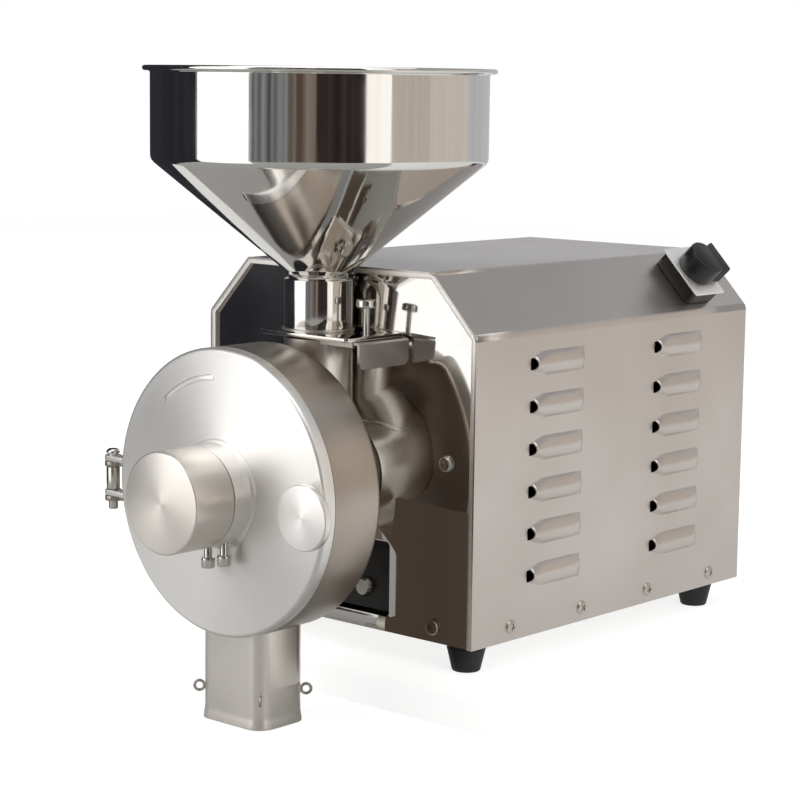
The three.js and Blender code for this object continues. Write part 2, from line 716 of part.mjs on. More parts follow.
// Chamber, drawn about its own axis: its walls, the clamp boss, the outlet and two hinge lugs
function chamberBody() {
  const bore = CHAMBER_RADIUS - CHAMBER_WALL;
  const floor = CHAMBER_REAR - CHAMBER_BACK_WALL;
  const seat = THROAT_RADIUS + GAP;
  const cup = turned([[bore, CHAMBER_FRONT], [CHAMBER_RADIUS, CHAMBER_FRONT],
    [CHAMBER_RADIUS, CHAMBER_REAR - CHAMBER_EDGE], [CHAMBER_RADIUS - CHAMBER_EDGE, CHAMBER_REAR],
    [seat, CHAMBER_REAR], [seat, floor], [bore, floor]], LARGE_SIDES);
  const bossEnd = CHAMBER_FRONT + CLAMP_BOSS_LENGTH;
  const boss = common(
    rod(CLAMP_BOSS_RADIUS, CHAMBER_FRONT, bossEnd, MEDIUM_SIDES).translate(CLAMP_OFFSET, 0, -CLAMP_DROP),
    rod(CHAMBER_RADIUS, CHAMBER_FRONT, bossEnd, LARGE_SIDES));
  const studHole = rod(CLAMP_STUD_RADIUS + CLAMP_HOLE_CLEARANCE, CHAMBER_FRONT - OVERRUN,
    CHAMBER_FRONT + CLAMP_STUD_REACH + OVERRUN, SMALL_SIDES);
  const middle = (CHAMBER_FRONT + floor) / 2;
  const outlet = roundedRectangle(-OUTLET_WIDTH / 2, OUTLET_WIDTH / 2, middle - OUTLET_DEPTH / 2,
    middle + OUTLET_DEPTH / 2, OUTLET_CORNER);
  const cuts = [
    studHole.translate(CLAMP_OFFSET, 0, -CLAMP_DROP),
    raised(outlet, -CHAMBER_RADIUS - OVERRUN, -CHAMBER_RADIUS / 2),
    ...hingeLugLevels(0).map((level) => hingeBore(level)),
  ];
  const lugs = hingeLugLevels(0).map((level) => chamberLug(level));
  return build(cup, [boss, ...lugs], cuts);
}

// Bottom heights of the two chamber lugs, or with a share of 1 of the cover lugs above them,
// measured from the main axis
function hingeLugLevels(share) {
  const step = share * (HINGE_LUG_HEIGHT + GAP);
  return [-HINGE_LOWER_LUG_DROP, HINGE_UPPER_LUG_RISE].map((level) => level + step);
}

function hingeBore(level) {
  const bore = post(HINGE_PIN_RADIUS + GAP, level - OVERRUN, level + HINGE_LUG_HEIGHT + OVERRUN,
    SMALL_SIDES);
  return bore.translate(-HINGE_OFFSET, HINGE_Y, 0);
}

// Seen from above: an eye round the pin and an arm that clears the cover's rim
function chamberLug(level) {
  const rim = -CHAMBER_RADIUS - 4 * GAP;
  const shape = new THREE.Shape();
  shape.absarc(-HINGE_OFFSET, HINGE_Y, HINGE_EYE_RADIUS, Math.PI, TURN, false);
  shape.lineTo(rim, CHAMBER_FRONT + GAP / 2);
  shape.lineTo(-CHAMBER_RADIUS + CHAMBER_WALL, CHAMBER_FRONT + GAP / 2);
  shape.lineTo(-CHAMBER_RADIUS + CHAMBER_WALL, CHAMBER_FRONT + CHAMBER_WALL * 2);
  shape.lineTo(rim - CHAMBER_WALL, CHAMBER_FRONT + CHAMBER_WALL);
  shape.closePath();
  return raised(shape, level, level + HINGE_LUG_HEIGHT);
}

function coverLug(level) {
  const shape = new THREE.Shape();
  const front = HINGE_Y - HINGE_EYE_RADIUS;
  const root = -CHAMBER_RADIUS + CHAMBER_WALL;
  shape.moveTo(-HINGE_OFFSET, front);
  shape.lineTo(root, front);
  shape.lineTo(root, coverBack() - GAP);
  shape.lineTo(-HINGE_OFFSET + HINGE_EYE_RADIUS, coverBack() - GAP);
  shape.absarc(-HINGE_OFFSET, HINGE_Y, HINGE_EYE_RADIUS, Math.PI / 6, Math.PI * 3 / 2, false);
  shape.closePath();
  return raised(shape, level, level + HINGE_LUG_HEIGHT);
}

function coverBack() {
  return CHAMBER_FRONT - GAP;
}

function coverFront() {
  return coverBack() - COVER_THICKNESS;
}

function hubFront() {
  return coverFront() - HUB_LENGTH;
}

function frontCover() {
  const back = coverBack();
  const front = coverFront();
  const lip = CHAMBER_RADIUS - CHAMBER_WALL - 2 * GAP;
  const lipInner = lip - COVER_LIP_WIDTH;
  const bore = CARRIER_HUB_RADIUS + GAP;
  const flange = front - HUB_FLANGE_LENGTH;
  const nose = hubFront() - NOSE_LENGTH;
  const disc = turned([[bore, back], [lipInner, back], [lipInner, back + COVER_LIP_HEIGHT],
    [lip, back + COVER_LIP_HEIGHT], [lip, back], [CHAMBER_RADIUS, back],
    [CHAMBER_RADIUS, front + COVER_EDGE], [CHAMBER_RADIUS - COVER_EDGE, front],
    [HUB_FLANGE_RADIUS, front], [HUB_FLANGE_RADIUS, flange + GAP], [KNOB_RADIUS, flange],
    [KNOB_RADIUS, hubFront()], [NOSE_RADIUS, hubFront()], [NOSE_RADIUS, nose], [bore, nose]],
  LARGE_SIDES);
  const clampHole = rod(CLAMP_STUD_RADIUS + CLAMP_HOLE_CLEARANCE, front - OVERRUN,
    back + COVER_LIP_HEIGHT + OVERRUN, SMALL_SIDES);
  const bossRelief = rod(CLAMP_BOSS_RADIUS + 2 * GAP, back, back + COVER_LIP_HEIGHT + OVERRUN,
    MEDIUM_SIDES);
  const lugs = hingeLugLevels(1).map((level) => coverLug(level));
  const cuts = [
    clampHole.translate(CLAMP_OFFSET, 0, -CLAMP_DROP),
    bossRelief.translate(CLAMP_OFFSET, 0, -CLAMP_DROP),
    ...hingeLugLevels(1).map((level) => hingeBore(level)),
    ...LOCK_SCREW_OFFSETS.map((across) => {
      const top = -lockSeatDrop(across) + LOCK_SCREW_BITE + GAP;
      const hole = post(LOCK_SCREW_RADIUS + GAP, -HUB_FLANGE_RADIUS - OVERRUN, top, TINY_SIDES);
      return hole.translate(across, LOCK_SCREW_Y, 0);
    }),
  ];
  return build(disc, lugs, cuts);
}

function hingePin() {
  const shoulderLow = AXIS_LEVEL - HINGE_LOWER_LUG_DROP + 2 * HINGE_LUG_HEIGHT + 2 * GAP;
  const shoulderHigh = AXIS_LEVEL + HINGE_UPPER_LUG_RISE - GAP;
  const bottom = AXIS_LEVEL - HINGE_REACH_DOWN;
  const top = AXIS_LEVEL + HINGE_REACH_UP;
  const headLow = top - HINGE_HEAD_HEIGHT;
  return turnedUp([[0, bottom], [HINGE_PIN_RADIUS - GAP, bottom],
    [HINGE_PIN_RADIUS, bottom + GAP], [HINGE_PIN_RADIUS, shoulderLow],
    [HINGE_BARREL_RADIUS, shoulderLow], [HINGE_BARREL_RADIUS, shoulderHigh],
    [HINGE_PIN_RADIUS, shoulderHigh], [HINGE_PIN_RADIUS, headLow],
    [HINGE_BARREL_RADIUS, headLow], [HINGE_BARREL_RADIUS, top - HINGE_HEAD_HEIGHT / 2],
    [HINGE_PIN_RADIUS, top - HINGE_HEAD_HEIGHT / 6], [0, top]], SMALL_SIDES);
}

// Washer that stays on the clamp stud, and the knob whose rim tapers down to the stud
function clampWasher() {
  const back = coverFront();
  return tube(CLAMP_STUD_RADIUS + GAP, WASHER_RADIUS, back - WASHER_THICKNESS, back, MEDIUM_SIDES);
}

function clampKnob() {
  const back = coverFront() - WASHER_THICKNESS;
  const front = back - CLAMP_KNOB_LENGTH;
  const end = CHAMBER_FRONT + CLAMP_STUD_REACH;
  return turned([[0, front], [CLAMP_KNOB_RADIUS - CLAMP_KNOB_EDGE, front],
    [CLAMP_KNOB_RADIUS, front + CLAMP_KNOB_EDGE], [CLAMP_KNOB_RADIUS, front + CLAMP_KNOB_RIM],
    [CLAMP_KNOB_NECK_RADIUS, back], [CLAMP_STUD_RADIUS, back], [CLAMP_STUD_RADIUS, end], [0, end]],
  MEDIUM_SIDES);
}

// Slanting furrows milled into a disc face. Each is a long cutter laid from near the middle
// outwards. The slant's sign tells the two discs apart, so that their furrows cross like shears.
function furrows(face, slant) {
  const cutters = [];
  for (let i = 0; i < FURROW_COUNT; i += 1) {
    const cutter = block(-FURROW_WIDTH / 2, FURROW_WIDTH / 2, face - FURROW_DEPTH, face + FURROW_DEPTH,
      0, DISC_RADIUS);
    cutter.rotateY(slant).translate(0, 0, FURROW_START);
    cutters.push(closed(cutter.rotateY((TURN * i) / FURROW_COUNT)));
  }
  return cutters;
}

function feedWindow() {
  const shape = new THREE.Shape();
  const half = FEED_WINDOW_ANGLE / 2;
  shape.absarc(0, 0, FEED_WINDOW_OUTER, -half, half, false);
  shape.absarc(0, 0, FEED_WINDOW_INNER, half, -half, true);
  shape.closePath();
  return shape;
}

function rotatingFace() {
  return FIXED_DISC_FACE + DISC_FACE_GAP;
}

// The nut lies in a round recess of the turning disc, just below its face
function nutSeat() {
  return rotatingFace() + GAP + DISC_NUT_LENGTH;
}

function rotatingDisc() {
  const face = rotatingFace();
  const back = face + DISC_THICKNESS;
  const hub = back + DISC_HUB_LENGTH;
  const bore = SHAFT_RADIUS + GAP;
  const seat = nutSeat();
  const disc = turned([[bore, seat], [DISC_NUT_RECESS_RADIUS, seat], [DISC_NUT_RECESS_RADIUS, face],
    [DISC_RADIUS, face], [DISC_RADIUS, back], [DISC_HUB_RADIUS, back], [DISC_HUB_RADIUS, hub],
    [bore, hub]], LARGE_SIDES);
  const cuts = furrows(face, FURROW_SLANT);
  for (let i = 0; i < FEED_WINDOW_COUNT; i += 1) {
    const opening = drawnBack(feedWindow(), face - OVERRUN, back + OVERRUN);
    cuts.push(opening.rotateY((TURN * i) / FEED_WINDOW_COUNT));
  }
  return build(disc, [], cuts);
}

function fixedDisc() {
  const back = FIXED_DISC_FACE - DISC_THICKNESS;
  const disc = tube(FIXED_DISC_BORE, DISC_RADIUS, back, FIXED_DISC_FACE, LARGE_SIDES);
  return build(disc, [], furrows(FIXED_DISC_FACE, -FURROW_SLANT));
}

function discCarrier() {
  const rear = FIXED_DISC_FACE - DISC_THICKNESS;
  const plate = rear - CARRIER_PLATE_THICKNESS;
  const bore = SCREW_RADIUS + GAP;
  return turned([[bore, rear], [CARRIER_PLATE_RADIUS, rear], [CARRIER_PLATE_RADIUS, plate],
    [CARRIER_HUB_RADIUS, plate], [CARRIER_HUB_RADIUS, plate - CARRIER_HUB_LENGTH],
    [bore, plate - CARRIER_HUB_LENGTH]], MEDIUM_SIDES);
}

function discNut() {
  const back = nutSeat();
  const front = back - DISC_NUT_LENGTH;
  const bore = rod(SHAFT_RADIUS + GAP, front - OVERRUN, back + OVERRUN, MEDIUM_SIDES);
  return build(rod(DISC_NUT_RADIUS, front, back, HEX_SIDES), [], [bore]);
}

function finenessKnob() {
  const rear = hubFront() - KNOB_SKIRT_GAP;
  const bore = KNOB_RADIUS - KNOB_SKIRT_WALL;
  const inside = KNOB_FRONT + KNOB_FACE_THICKNESS;
  const seat = inside - SCREW_SEAT_DEPTH;
  const screwBore = SCREW_RADIUS + GAP;
  return turned([[0, KNOB_FRONT], [KNOB_RADIUS - KNOB_EDGE, KNOB_FRONT],
    [KNOB_RADIUS, KNOB_FRONT + KNOB_EDGE], [KNOB_RADIUS, rear], [bore, rear], [bore, inside],
    [screwBore, inside], [screwBore, seat], [0, seat]], LARGE_SIDES);
}

function finenessScrew() {
  const front = KNOB_FRONT + KNOB_FACE_THICKNESS - SCREW_SEAT_DEPTH + GAP;
  return rod(SCREW_RADIUS, front, FIXED_DISC_FACE - DISC_THICKNESS - GAP, SMALL_SIDES);
}

// How far below the main axis the hub's surface lies at this distance from its middle
function lockSeatDrop(across) {
  return Math.sqrt(KNOB_RADIUS * KNOB_RADIUS - across * across);
}

function lockScrew() {
  const neck = -LOCK_SCREW_NECK;
  const head = neck - LOCK_SCREW_HEAD_LENGTH;
  const edge = LOCK_SCREW_HEAD_RADIUS - GAP;
  return turnedUp([[0, LOCK_SCREW_BITE], [LOCK_SCREW_RADIUS, LOCK_SCREW_BITE],
    [LOCK_SCREW_RADIUS, neck], [edge, neck], [LOCK_SCREW_HEAD_RADIUS, neck - GAP],
    [LOCK_SCREW_HEAD_RADIUS, head + GAP], [edge, head], [0, head]], TINY_SIDES);
}

// One level section of the spout, a rectangle with round corners grown by the given amount
function spoutSection(grow, level) {
  const shape = roundedRectangle(-SPOUT_WIDTH / 2 - grow, SPOUT_WIDTH / 2 + grow,
    -SPOUT_DEPTH / 2 - grow, SPOUT_DEPTH / 2 + grow, SPOUT_CORNER + grow);
  const points = shape.extractPoints(SHAPE_STEPS).shape;
  return points.map((point) => new THREE.Vector3(point.x, point.y, level));
}

function spoutMiddle() {
  return (CHAMBER_FRONT + CHAMBER_REAR) / 2;
}

function spout() {
  const top = AXIS_LEVEL - CHAMBER_RADIUS / 2;
  const flareTop = SPOUT_BOTTOM + SPOUT_FLARE_HEIGHT;
  const outer = loft([spoutSection(SPOUT_FLARE, SPOUT_BOTTOM), spoutSection(0, flareTop),
    spoutSection(0, top)]);
  const inner = loft([
    spoutSection(SPOUT_FLARE - SPOUT_WALL, SPOUT_BOTTOM),
    spoutSection(-SPOUT_WALL, flareTop),
    spoutSection(-SPOUT_WALL, top)]);
  const throughBottom = loft([spoutSection(SPOUT_FLARE - SPOUT_WALL, SPOUT_BOTTOM - OVERRUN),
    spoutSection(SPOUT_FLARE - SPOUT_WALL, SPOUT_BOTTOM)]);
  const reach = CHAMBER_RADIUS;
  const chamber = rod(CHAMBER_RADIUS + GAP, -reach, reach, LARGE_SIDES).translate(0, 0, AXIS_LEVEL);
  return build(outer, [], [inner, throughBottom, chamber]);
}

function bagEye() {
  const profile = [];
  for (let i = 0; i < HEX_SIDES; i += 1) {
    const angle = (TURN * i) / HEX_SIDES;
    const radius = EYE_RING_RADIUS + EYE_WIRE_RADIUS * Math.cos(angle);
    profile.push([radius, EYE_WIRE_RADIUS * Math.sin(angle)]);
  }
  return turned(profile, TINY_SIDES);
}

// Cross throat and upright feed tube, open at the front, with a wall for the seal at the rear
function feedThroat() {
  const mouth = CHAMBER_REAR - CHAMBER_BACK_WALL + GAP;
  const backFace = THROAT_END - THROAT_BACK_WALL;
  const sealBore = SEAL_RADIUS + GAP;
  const barrel = turned([[THROAT_BORE_RADIUS, mouth], [THROAT_RADIUS, mouth],
    [THROAT_RADIUS, THROAT_END], [sealBore, THROAT_END], [sealBore, backFace],
    [THROAT_BORE_RADIUS, backFace]], LARGE_SIDES);
  const top = tubeTop() - AXIS_LEVEL;
  const inside = rod(THROAT_BORE_RADIUS, mouth, backFace, LARGE_SIDES);
  const tubeWall = post(TUBE_RADIUS, THROAT_BORE_RADIUS / 2, top, LARGE_SIDES);
  const upperBore = post(TUBE_BORE_RADIUS, THROAT_RADIUS, top + OVERRUN, LARGE_SIDES);
  // Inside the barrel the tube's bore stops at the back wall, which carries the seal
  const lowerBore = common(
    post(TUBE_BORE_RADIUS, 0, THROAT_RADIUS + GAP, LARGE_SIDES).translate(TUBE_X, TUBE_Y, 0),
    block(-THROAT_RADIUS, THROAT_RADIUS, mouth, backFace, 0, THROAT_RADIUS + 2 * GAP));
  return build(barrel, [tubeWall.translate(TUBE_X, TUBE_Y, 0)], [
    inside,
    rod(sealBore, backFace - OVERRUN, THROAT_END + OVERRUN, LARGE_SIDES),
    upperBore.translate(TUBE_X, TUBE_Y, 0),
    lowerBore]);
}

function plateBottom() {
  return PLATE_TOP - PLATE_THICKNESS;
}

function tubeTop() {
  return plateBottom() - GATE_SHEET - 2 * GAP;
}

// Screw flight: a thin bar wound round the core, one section after another
function feedScrew() {
  const steps = Math.round(FLIGHT_TURNS * FLIGHT_STEPS_PER_TURN);
  const start = AUGER_FRONT + FLIGHT_THICKNESS / 2 + GAP;
  const sections = [];
  for (let i = 0; i <= steps; i += 1) {
    const angle = (TURN * i) / FLIGHT_STEPS_PER_TURN;
    const along = start + (FLIGHT_PITCH * i) / FLIGHT_STEPS_PER_TURN;
    const point = (radius, shift) => new THREE.Vector3(radius * Math.cos(angle), along + shift,
      radius * Math.sin(angle));
    const half = FLIGHT_THICKNESS / 2;
    const root = FLIGHT_CORE_RADIUS - OVERRUN;
    sections.push([point(root, -half), point(FLIGHT_RADIUS, -half / 2),
      point(FLIGHT_RADIUS, half / 2), point(root, half)]);
  }
  const core = tube(SHAFT_RADIUS + GAP, FLIGHT_CORE_RADIUS, AUGER_FRONT, AUGER_REAR, MEDIUM_SIDES);
  return build(core, [loft(sections)], []);
}

// Hopper collar and the plate below it, with the rails that the gate slides in
function gateGuide() {
  const bottom = plateBottom();
  const plate = softOutline([[PLATE_LEFT, PLATE_FRONT, PLATE_ROUND_CORNER],
    [PLATE_RIGHT, PLATE_FRONT, PLATE_SMALL_CORNER], [PLATE_RIGHT, PLATE_REAR, PLATE_SMALL_CORNER],
    [PLATE_LEFT, PLATE_REAR, PLATE_SMALL_CORNER * 2]]);
  const ledge = HOPPER_SPIGOT_RADIUS - HOPPER_SHEET;
  const collar = turnedUp([[COLLAR_BORE_RADIUS, PLATE_TOP - GAP], [TUBE_RADIUS, PLATE_TOP - GAP],
    [TUBE_RADIUS, COLLAR_TOP], [COLLAR_BORE_RADIUS, COLLAR_TOP]], LARGE_SIDES);
  const skirt = build(turnedUp([[TUBE_BORE_RADIUS, tubeTop()], [TUBE_RADIUS, tubeTop()],
    [TUBE_RADIUS, bottom + GAP], [TUBE_BORE_RADIUS, bottom + GAP]], LARGE_SIDES), [], [
    block(0, TUBE_RADIUS + OVERRUN, -gateHalfWidth() - GAP, gateHalfWidth() + GAP,
      tubeTop() - OVERRUN, bottom + OVERRUN)]);
  const rails = [-1, 1].map((side) => railSection(side));
  const bore = post(ledge, bottom - OVERRUN, PLATE_TOP + OVERRUN, LARGE_SIDES).translate(TUBE_X, TUBE_Y, 0);
  const screwHole = post(GATE_SCREW_RADIUS + GAP, bottom - OVERRUN, PLATE_TOP + OVERRUN, TINY_SIDES);
  return build(raised(plate, bottom, PLATE_TOP), [
    collar.translate(TUBE_X, TUBE_Y, 0), skirt.translate(TUBE_X, TUBE_Y, 0), ...rails], [
    bore, screwHole.translate(GATE_SCREW_X, GATE_SCREW_Y, 0)]);
}

function gateHalfWidth() {
  return TUBE_BORE_RADIUS - 2 * GAP;
}

// An L-shaped rail beside the gate, its lip under the gate's edge
function railSection(side) {
  const inner = gateHalfWidth() + GAP;
  const outer = inner + GATE_RAIL_WIDTH;
  const lipInner = outer - GATE_LIP_WIDTH;
  const lipTop = plateBottom() - GATE_SHEET - 2 * GAP;
  const lipBottom = lipTop - GATE_LIP_THICKNESS;
  const profile = [[inner, plateBottom() + GAP], [outer, plateBottom() + GAP], [outer, lipBottom],
    [lipInner, lipBottom], [lipInner, lipTop], [inner, lipTop]];
  const shape = outline(profile.map(([across, up]) => [side * across, up]));
  const start = TUBE_RADIUS + GAP;
  const bar = drawnBack(shape, -GATE_RAIL_END, -start);
  return bar.rotateZ(Math.PI / 2).translate(TUBE_X, TUBE_Y, 0);
}

function slideGate() {
  const top = plateBottom() - GAP;
  const bottom = top - GATE_SHEET;
  const half = gateHalfWidth();
  const grip = GATE_TAB_WIDTH / 2;
  const shoulder = GATE_RAIL_END + GAP;
  const outer = PLATE_RIGHT + GATE_TAB_GAP - TUBE_X;
  const blade = new THREE.Shape();
  blade.absarc(0, 0, half, Math.PI / 2, Math.PI * 3 / 2, false);
  blade.lineTo(shoulder, -half);
  blade.lineTo(shoulder, -grip);
  blade.lineTo(outer, -grip);
  blade.lineTo(outer, grip);
  blade.lineTo(shoulder, grip);
  blade.lineTo(shoulder, half);
  blade.closePath();
  const tab = softOutline([[-grip, top, 0], [-grip, top - GATE_TAB_DROP, GATE_TAB_CORNER],
    [grip, top - GATE_TAB_DROP, GATE_TAB_CORNER], [grip, top, 0]]);
  const bent = drawnBack(tab, -outer - GATE_SHEET / 2, -outer + GATE_SHEET / 2).rotateZ(Math.PI / 2);
  return build(raised(blade, bottom, top), [bent], []);
}

function gateScrew() {
  const tip = plateBottom() - GAP / 2;
  const head = PLATE_TOP + GATE_SCREW_RISE;
  const under = head - GATE_SCREW_HEAD_HEIGHT;
  const edge = GATE_SCREW_HEAD_RADIUS - 2 * GAP;
  return turnedUp([[0, tip], [GATE_SCREW_RADIUS, tip], [GATE_SCREW_RADIUS, under], [edge, under],
    [GATE_SCREW_HEAD_RADIUS, under + 2 * GAP], [GATE_SCREW_HEAD_RADIUS, head - 2 * GAP],
    [edge, head], [0, head]], SMALL_SIDES);
}

// Thin-walled funnel with a straight upper wall and a rolled rim
function hopper() {
  const outer = HOPPER_RADIUS;
  const inner = outer - HOPPER_SHEET;
  const spigot = HOPPER_SPIGOT_RADIUS;
  const spigotInner = spigot - HOPPER_SHEET;
  const rim = outer + HOPPER_RIM_REACH;
  const shoulder = HOPPER_CONE_BOTTOM + HOPPER_CONE_HEIGHT;
  const top = shoulder + HOPPER_WALL_HEIGHT;
  const rimLow = top - HOPPER_RIM_HEIGHT;
  return turnedUp([[spigot, PLATE_TOP], [spigot, HOPPER_CONE_BOTTOM], [outer, shoulder],
    [outer, rimLow], [rim - HOPPER_RIM_ROUND, rimLow], [rim, rimLow + HOPPER_RIM_ROUND],
    [rim, top - HOPPER_RIM_ROUND], [rim - HOPPER_RIM_ROUND, top],
    [inner + HOPPER_RIM_ROUND, top], [inner, top - HOPPER_RIM_ROUND],
    [inner, shoulder + HOPPER_SHEET / 2], [spigotInner, HOPPER_CONE_BOTTOM + HOPPER_SHEET / 2],
    [spigotInner, PLATE_TOP]], LARGE_SIDES);
}

function mainShaft() {
  const front = rotatingFace() + GAP;
  const rear = fanFront() + FAN_LENGTH + SHAFT_OVERHANG;
  const wideFrom = STATOR_FRONT + ROTOR_INSET / 2;
  const wideTo = STATOR_REAR - ROTOR_INSET / 2;
  return turned([[0, front], [SHAFT_RADIUS - 2 * GAP, front], [SHAFT_RADIUS, front + 2 * GAP],
    [SHAFT_RADIUS, wideFrom], [SHAFT_ROTOR_RADIUS, wideFrom], [SHAFT_ROTOR_RADIUS, wideTo],
    [SHAFT_RADIUS, wideTo], [SHAFT_RADIUS, rear], [0, rear]], MEDIUM_SIDES);
}

function statorBore() {
  return STATOR_RADIUS - STATOR_WALL;
}

function fanFront() {
  return STATOR_REAR + BELL_REAR_LENGTH + FAN_BELL_GAP;
}

// Stator with its two feet, which stand on the tray
function motorStator() {
  const ring = tube(statorBore(), STATOR_RADIUS, STATOR_FRONT, STATOR_REAR, MEDIUM_SIDES);
  const half = STATOR_FOOT_HALF_WIDTH;
  const fronts = [STATOR_FRONT + STATOR_FOOT_INSET,
    STATOR_REAR - STATOR_FOOT_INSET - STATOR_FOOT_LENGTH];
  const feet = fronts.map((front) => block(-half, half, front, front + STATOR_FOOT_LENGTH,
    TRAY_SHEET - AXIS_LEVEL, STATOR_FOOT_LAP - STATOR_RADIUS));
  return build(ring, feet, []);
}

function rotorCore() {
  return tube(SHAFT_ROTOR_RADIUS + GAP, statorBore() - ROTOR_GAP, STATOR_FRONT + ROTOR_INSET,
    STATOR_REAR - ROTOR_INSET, MEDIUM_SIDES);
}

// End bell: a hub for the bearing, a web and a rim, drawn from its outer face towards the stator
function bellProfile(outerFace, innerFace) {
  const toward = Math.sign(innerFace - outerFace);
  const seat = BEARING_RADIUS + GAP;
  const hub = seat + BELL_HUB_WALL;
  const web = outerFace + toward * BELL_WEB;
  const outer = STATOR_RADIUS + BELL_OVERHANG;
  return [[seat, outerFace], [outer - BELL_WEB, outerFace], [outer, web], [outer, innerFace],
    [outer - BELL_RIM, innerFace], [outer - BELL_RIM, web], [hub, web], [hub, innerFace],
    [seat, innerFace]];
}

function frontBell() {
  const bell = turned(bellProfile(BELL_FRONT, STATOR_FRONT - GAP), MEDIUM_SIDES);
  const bracket = block(-BRACKET_HALF_WIDTH, BRACKET_HALF_WIDTH, BRACKET_FRONT,
    BELL_FRONT + BELL_WEB, BRACKET_BOTTOM - AXIS_LEVEL, BRACKET_TOP - AXIS_LEVEL);
  const holes = [-MOTOR_BOLT_OFFSET, MOTOR_BOLT_OFFSET].map((across) => {
    const hole = rod(MOTOR_BOLT_RADIUS + GAP, 0, MOTOR_BOLT_LENGTH + BELL_FRONT, TINY_SIDES);
    return hole.translate(across, 0, motorBoltLevel() - AXIS_LEVEL);
  });
  return build(bell, [bracket], holes);
}

function motorBoltLevel() {
  return BRACKET_BOTTOM + (BRACKET_TOP - BRACKET_BOTTOM) * MOTOR_BOLT_HEIGHT_SHARE;
}

function rearBell() {
  return turned(bellProfile(STATOR_REAR + BELL_REAR_LENGTH, STATOR_REAR + GAP), MEDIUM_SIDES);
}

function bearing(front) {
  return tube(SHAFT_RADIUS + GAP, BEARING_RADIUS, front, front + BEARING_WIDTH, MEDIUM_SIDES);
}

function shaftSeal() {
  return tube(SHAFT_RADIUS + GAP, SEAL_RADIUS, SEAL_FRONT, SEAL_FRONT + SEAL_WIDTH, MEDIUM_SIDES);
}

function motorBolt() {
  return headedScrew(MOTOR_BOLT_HEAD_RADIUS, MOTOR_BOLT_HEAD_HEIGHT, MOTOR_BOLT_RADIUS,
    MOTOR_BOLT_LENGTH, HEX_SIDES * 2);
}

function coolingFan() {
  const front = fanFront();
  const rear = front + FAN_LENGTH;
  const hub = tube(SHAFT_RADIUS + GAP, FAN_HUB_RADIUS, front, rear, MEDIUM_SIDES);
  const blades = [];
  for (let i = 0; i < FAN_BLADE_COUNT; i += 1) {
    const blade = block(-FAN_BLADE_THICKNESS / 2, FAN_BLADE_THICKNESS / 2, front, rear,
      FAN_HUB_RADIUS - OVERRUN, STATOR_RADIUS - FAN_INSET);
    blades.push(blade.rotateY((TURN * i) / FAN_BLADE_COUNT));
  }
  return build(hub, blades, []);
}

// Capacitor that lies along the top of the stator on two raised bands
function capacitor() {
  const end = CAPACITOR_FRONT + CAPACITOR_LENGTH;
  const band = CAPACITOR_RADIUS + CAPACITOR_BAND_HEIGHT;
  const first = CAPACITOR_FRONT + CAPACITOR_BAND_INSET;
  const second = end - CAPACITOR_BAND_INSET - CAPACITOR_BAND_WIDTH;
  const ridge = (start) => [[CAPACITOR_RADIUS, start], [band, start],
    [band, start + CAPACITOR_BAND_WIDTH], [CAPACITOR_RADIUS, start + CAPACITOR_BAND_WIDTH]];
  return turned([[0, CAPACITOR_FRONT], [CAPACITOR_RADIUS, CAPACITOR_FRONT], ...ridge(first),
    ...ridge(second), [CAPACITOR_RADIUS, end], [0, end]], MEDIUM_SIDES);
}

function switchBody() {
  const halfWide = SWITCH_WIDTH / 2 - SWITCH_BODY_INSET;
  const halfLong = SWITCH_LENGTH / 2 - SWITCH_BODY_INSET;
  return raised(roundedRectangle(-halfWide, halfWide, -halfLong, halfLong, SWITCH_BODY_CORNER),
    GAP, GAP + SWITCH_BODY_HEIGHT);
}

function switchPlateTop() {
  return 2 * GAP + SWITCH_BODY_HEIGHT + SWITCH_PLATE_THICKNESS;
}

function switchPlate() {
  const shape = roundedRectangle(-SWITCH_WIDTH / 2, SWITCH_WIDTH / 2, -SWITCH_LENGTH / 2,
    SWITCH_LENGTH / 2, SWITCH_PLATE_CORNER);
  const top = switchPlateTop();
  const hole = post(SWITCH_PLATE_HOLE, 0, top + OVERRUN, SMALL_SIDES);
  return build(raised(shape, top - SWITCH_PLATE_THICKNESS, top), [], [hole]);
}

// A round knob with a tail that widens towards its end, drawn as seen from its own top
function switchHandle() {
  const seat = switchPlateTop() + GAP;
  const spindle = switchPlateTop() - SWITCH_PLATE_THICKNESS;
  const top = seat + SWITCH_KNOB_HEIGHT;
  const edge = SWITCH_KNOB_RADIUS - 2 * GAP;
  const knob = turnedUp([[0, spindle], [SWITCH_SPINDLE_RADIUS, spindle],
    [SWITCH_SPINDLE_RADIUS, seat], [edge, seat], [SWITCH_KNOB_RADIUS, seat + 2 * GAP],
    [SWITCH_KNOB_RADIUS, top - 2 * GAP], [edge, top], [0, top]], MEDIUM_SIDES);
  const root = SWITCH_TAIL_ROOT_HALF_WIDTH;
  const half = SWITCH_TAIL_HALF_WIDTH;
  const tail = softOutline([[-root, SWITCH_KNOB_ROOT, 0], [root, SWITCH_KNOB_ROOT, 0],
    [half, SWITCH_TAIL_REACH, SWITCH_TAIL_EDGE], [-half, SWITCH_TAIL_REACH, SWITCH_TAIL_EDGE]]);
  return build(knob, [raised(tail, seat + 2 * GAP, top - 2 * GAP)], []);
}

// Each sub-part becomes one named mesh at its place in its group
function place(parent, name, geometry, material, x = 0, y = 0, z = 0) {
  const mesh = new THREE.Mesh(closed(geometry), material);
  mesh.name = name;
  mesh.position.set(x, y, z);
  parent.add(mesh);
  return mesh;
}

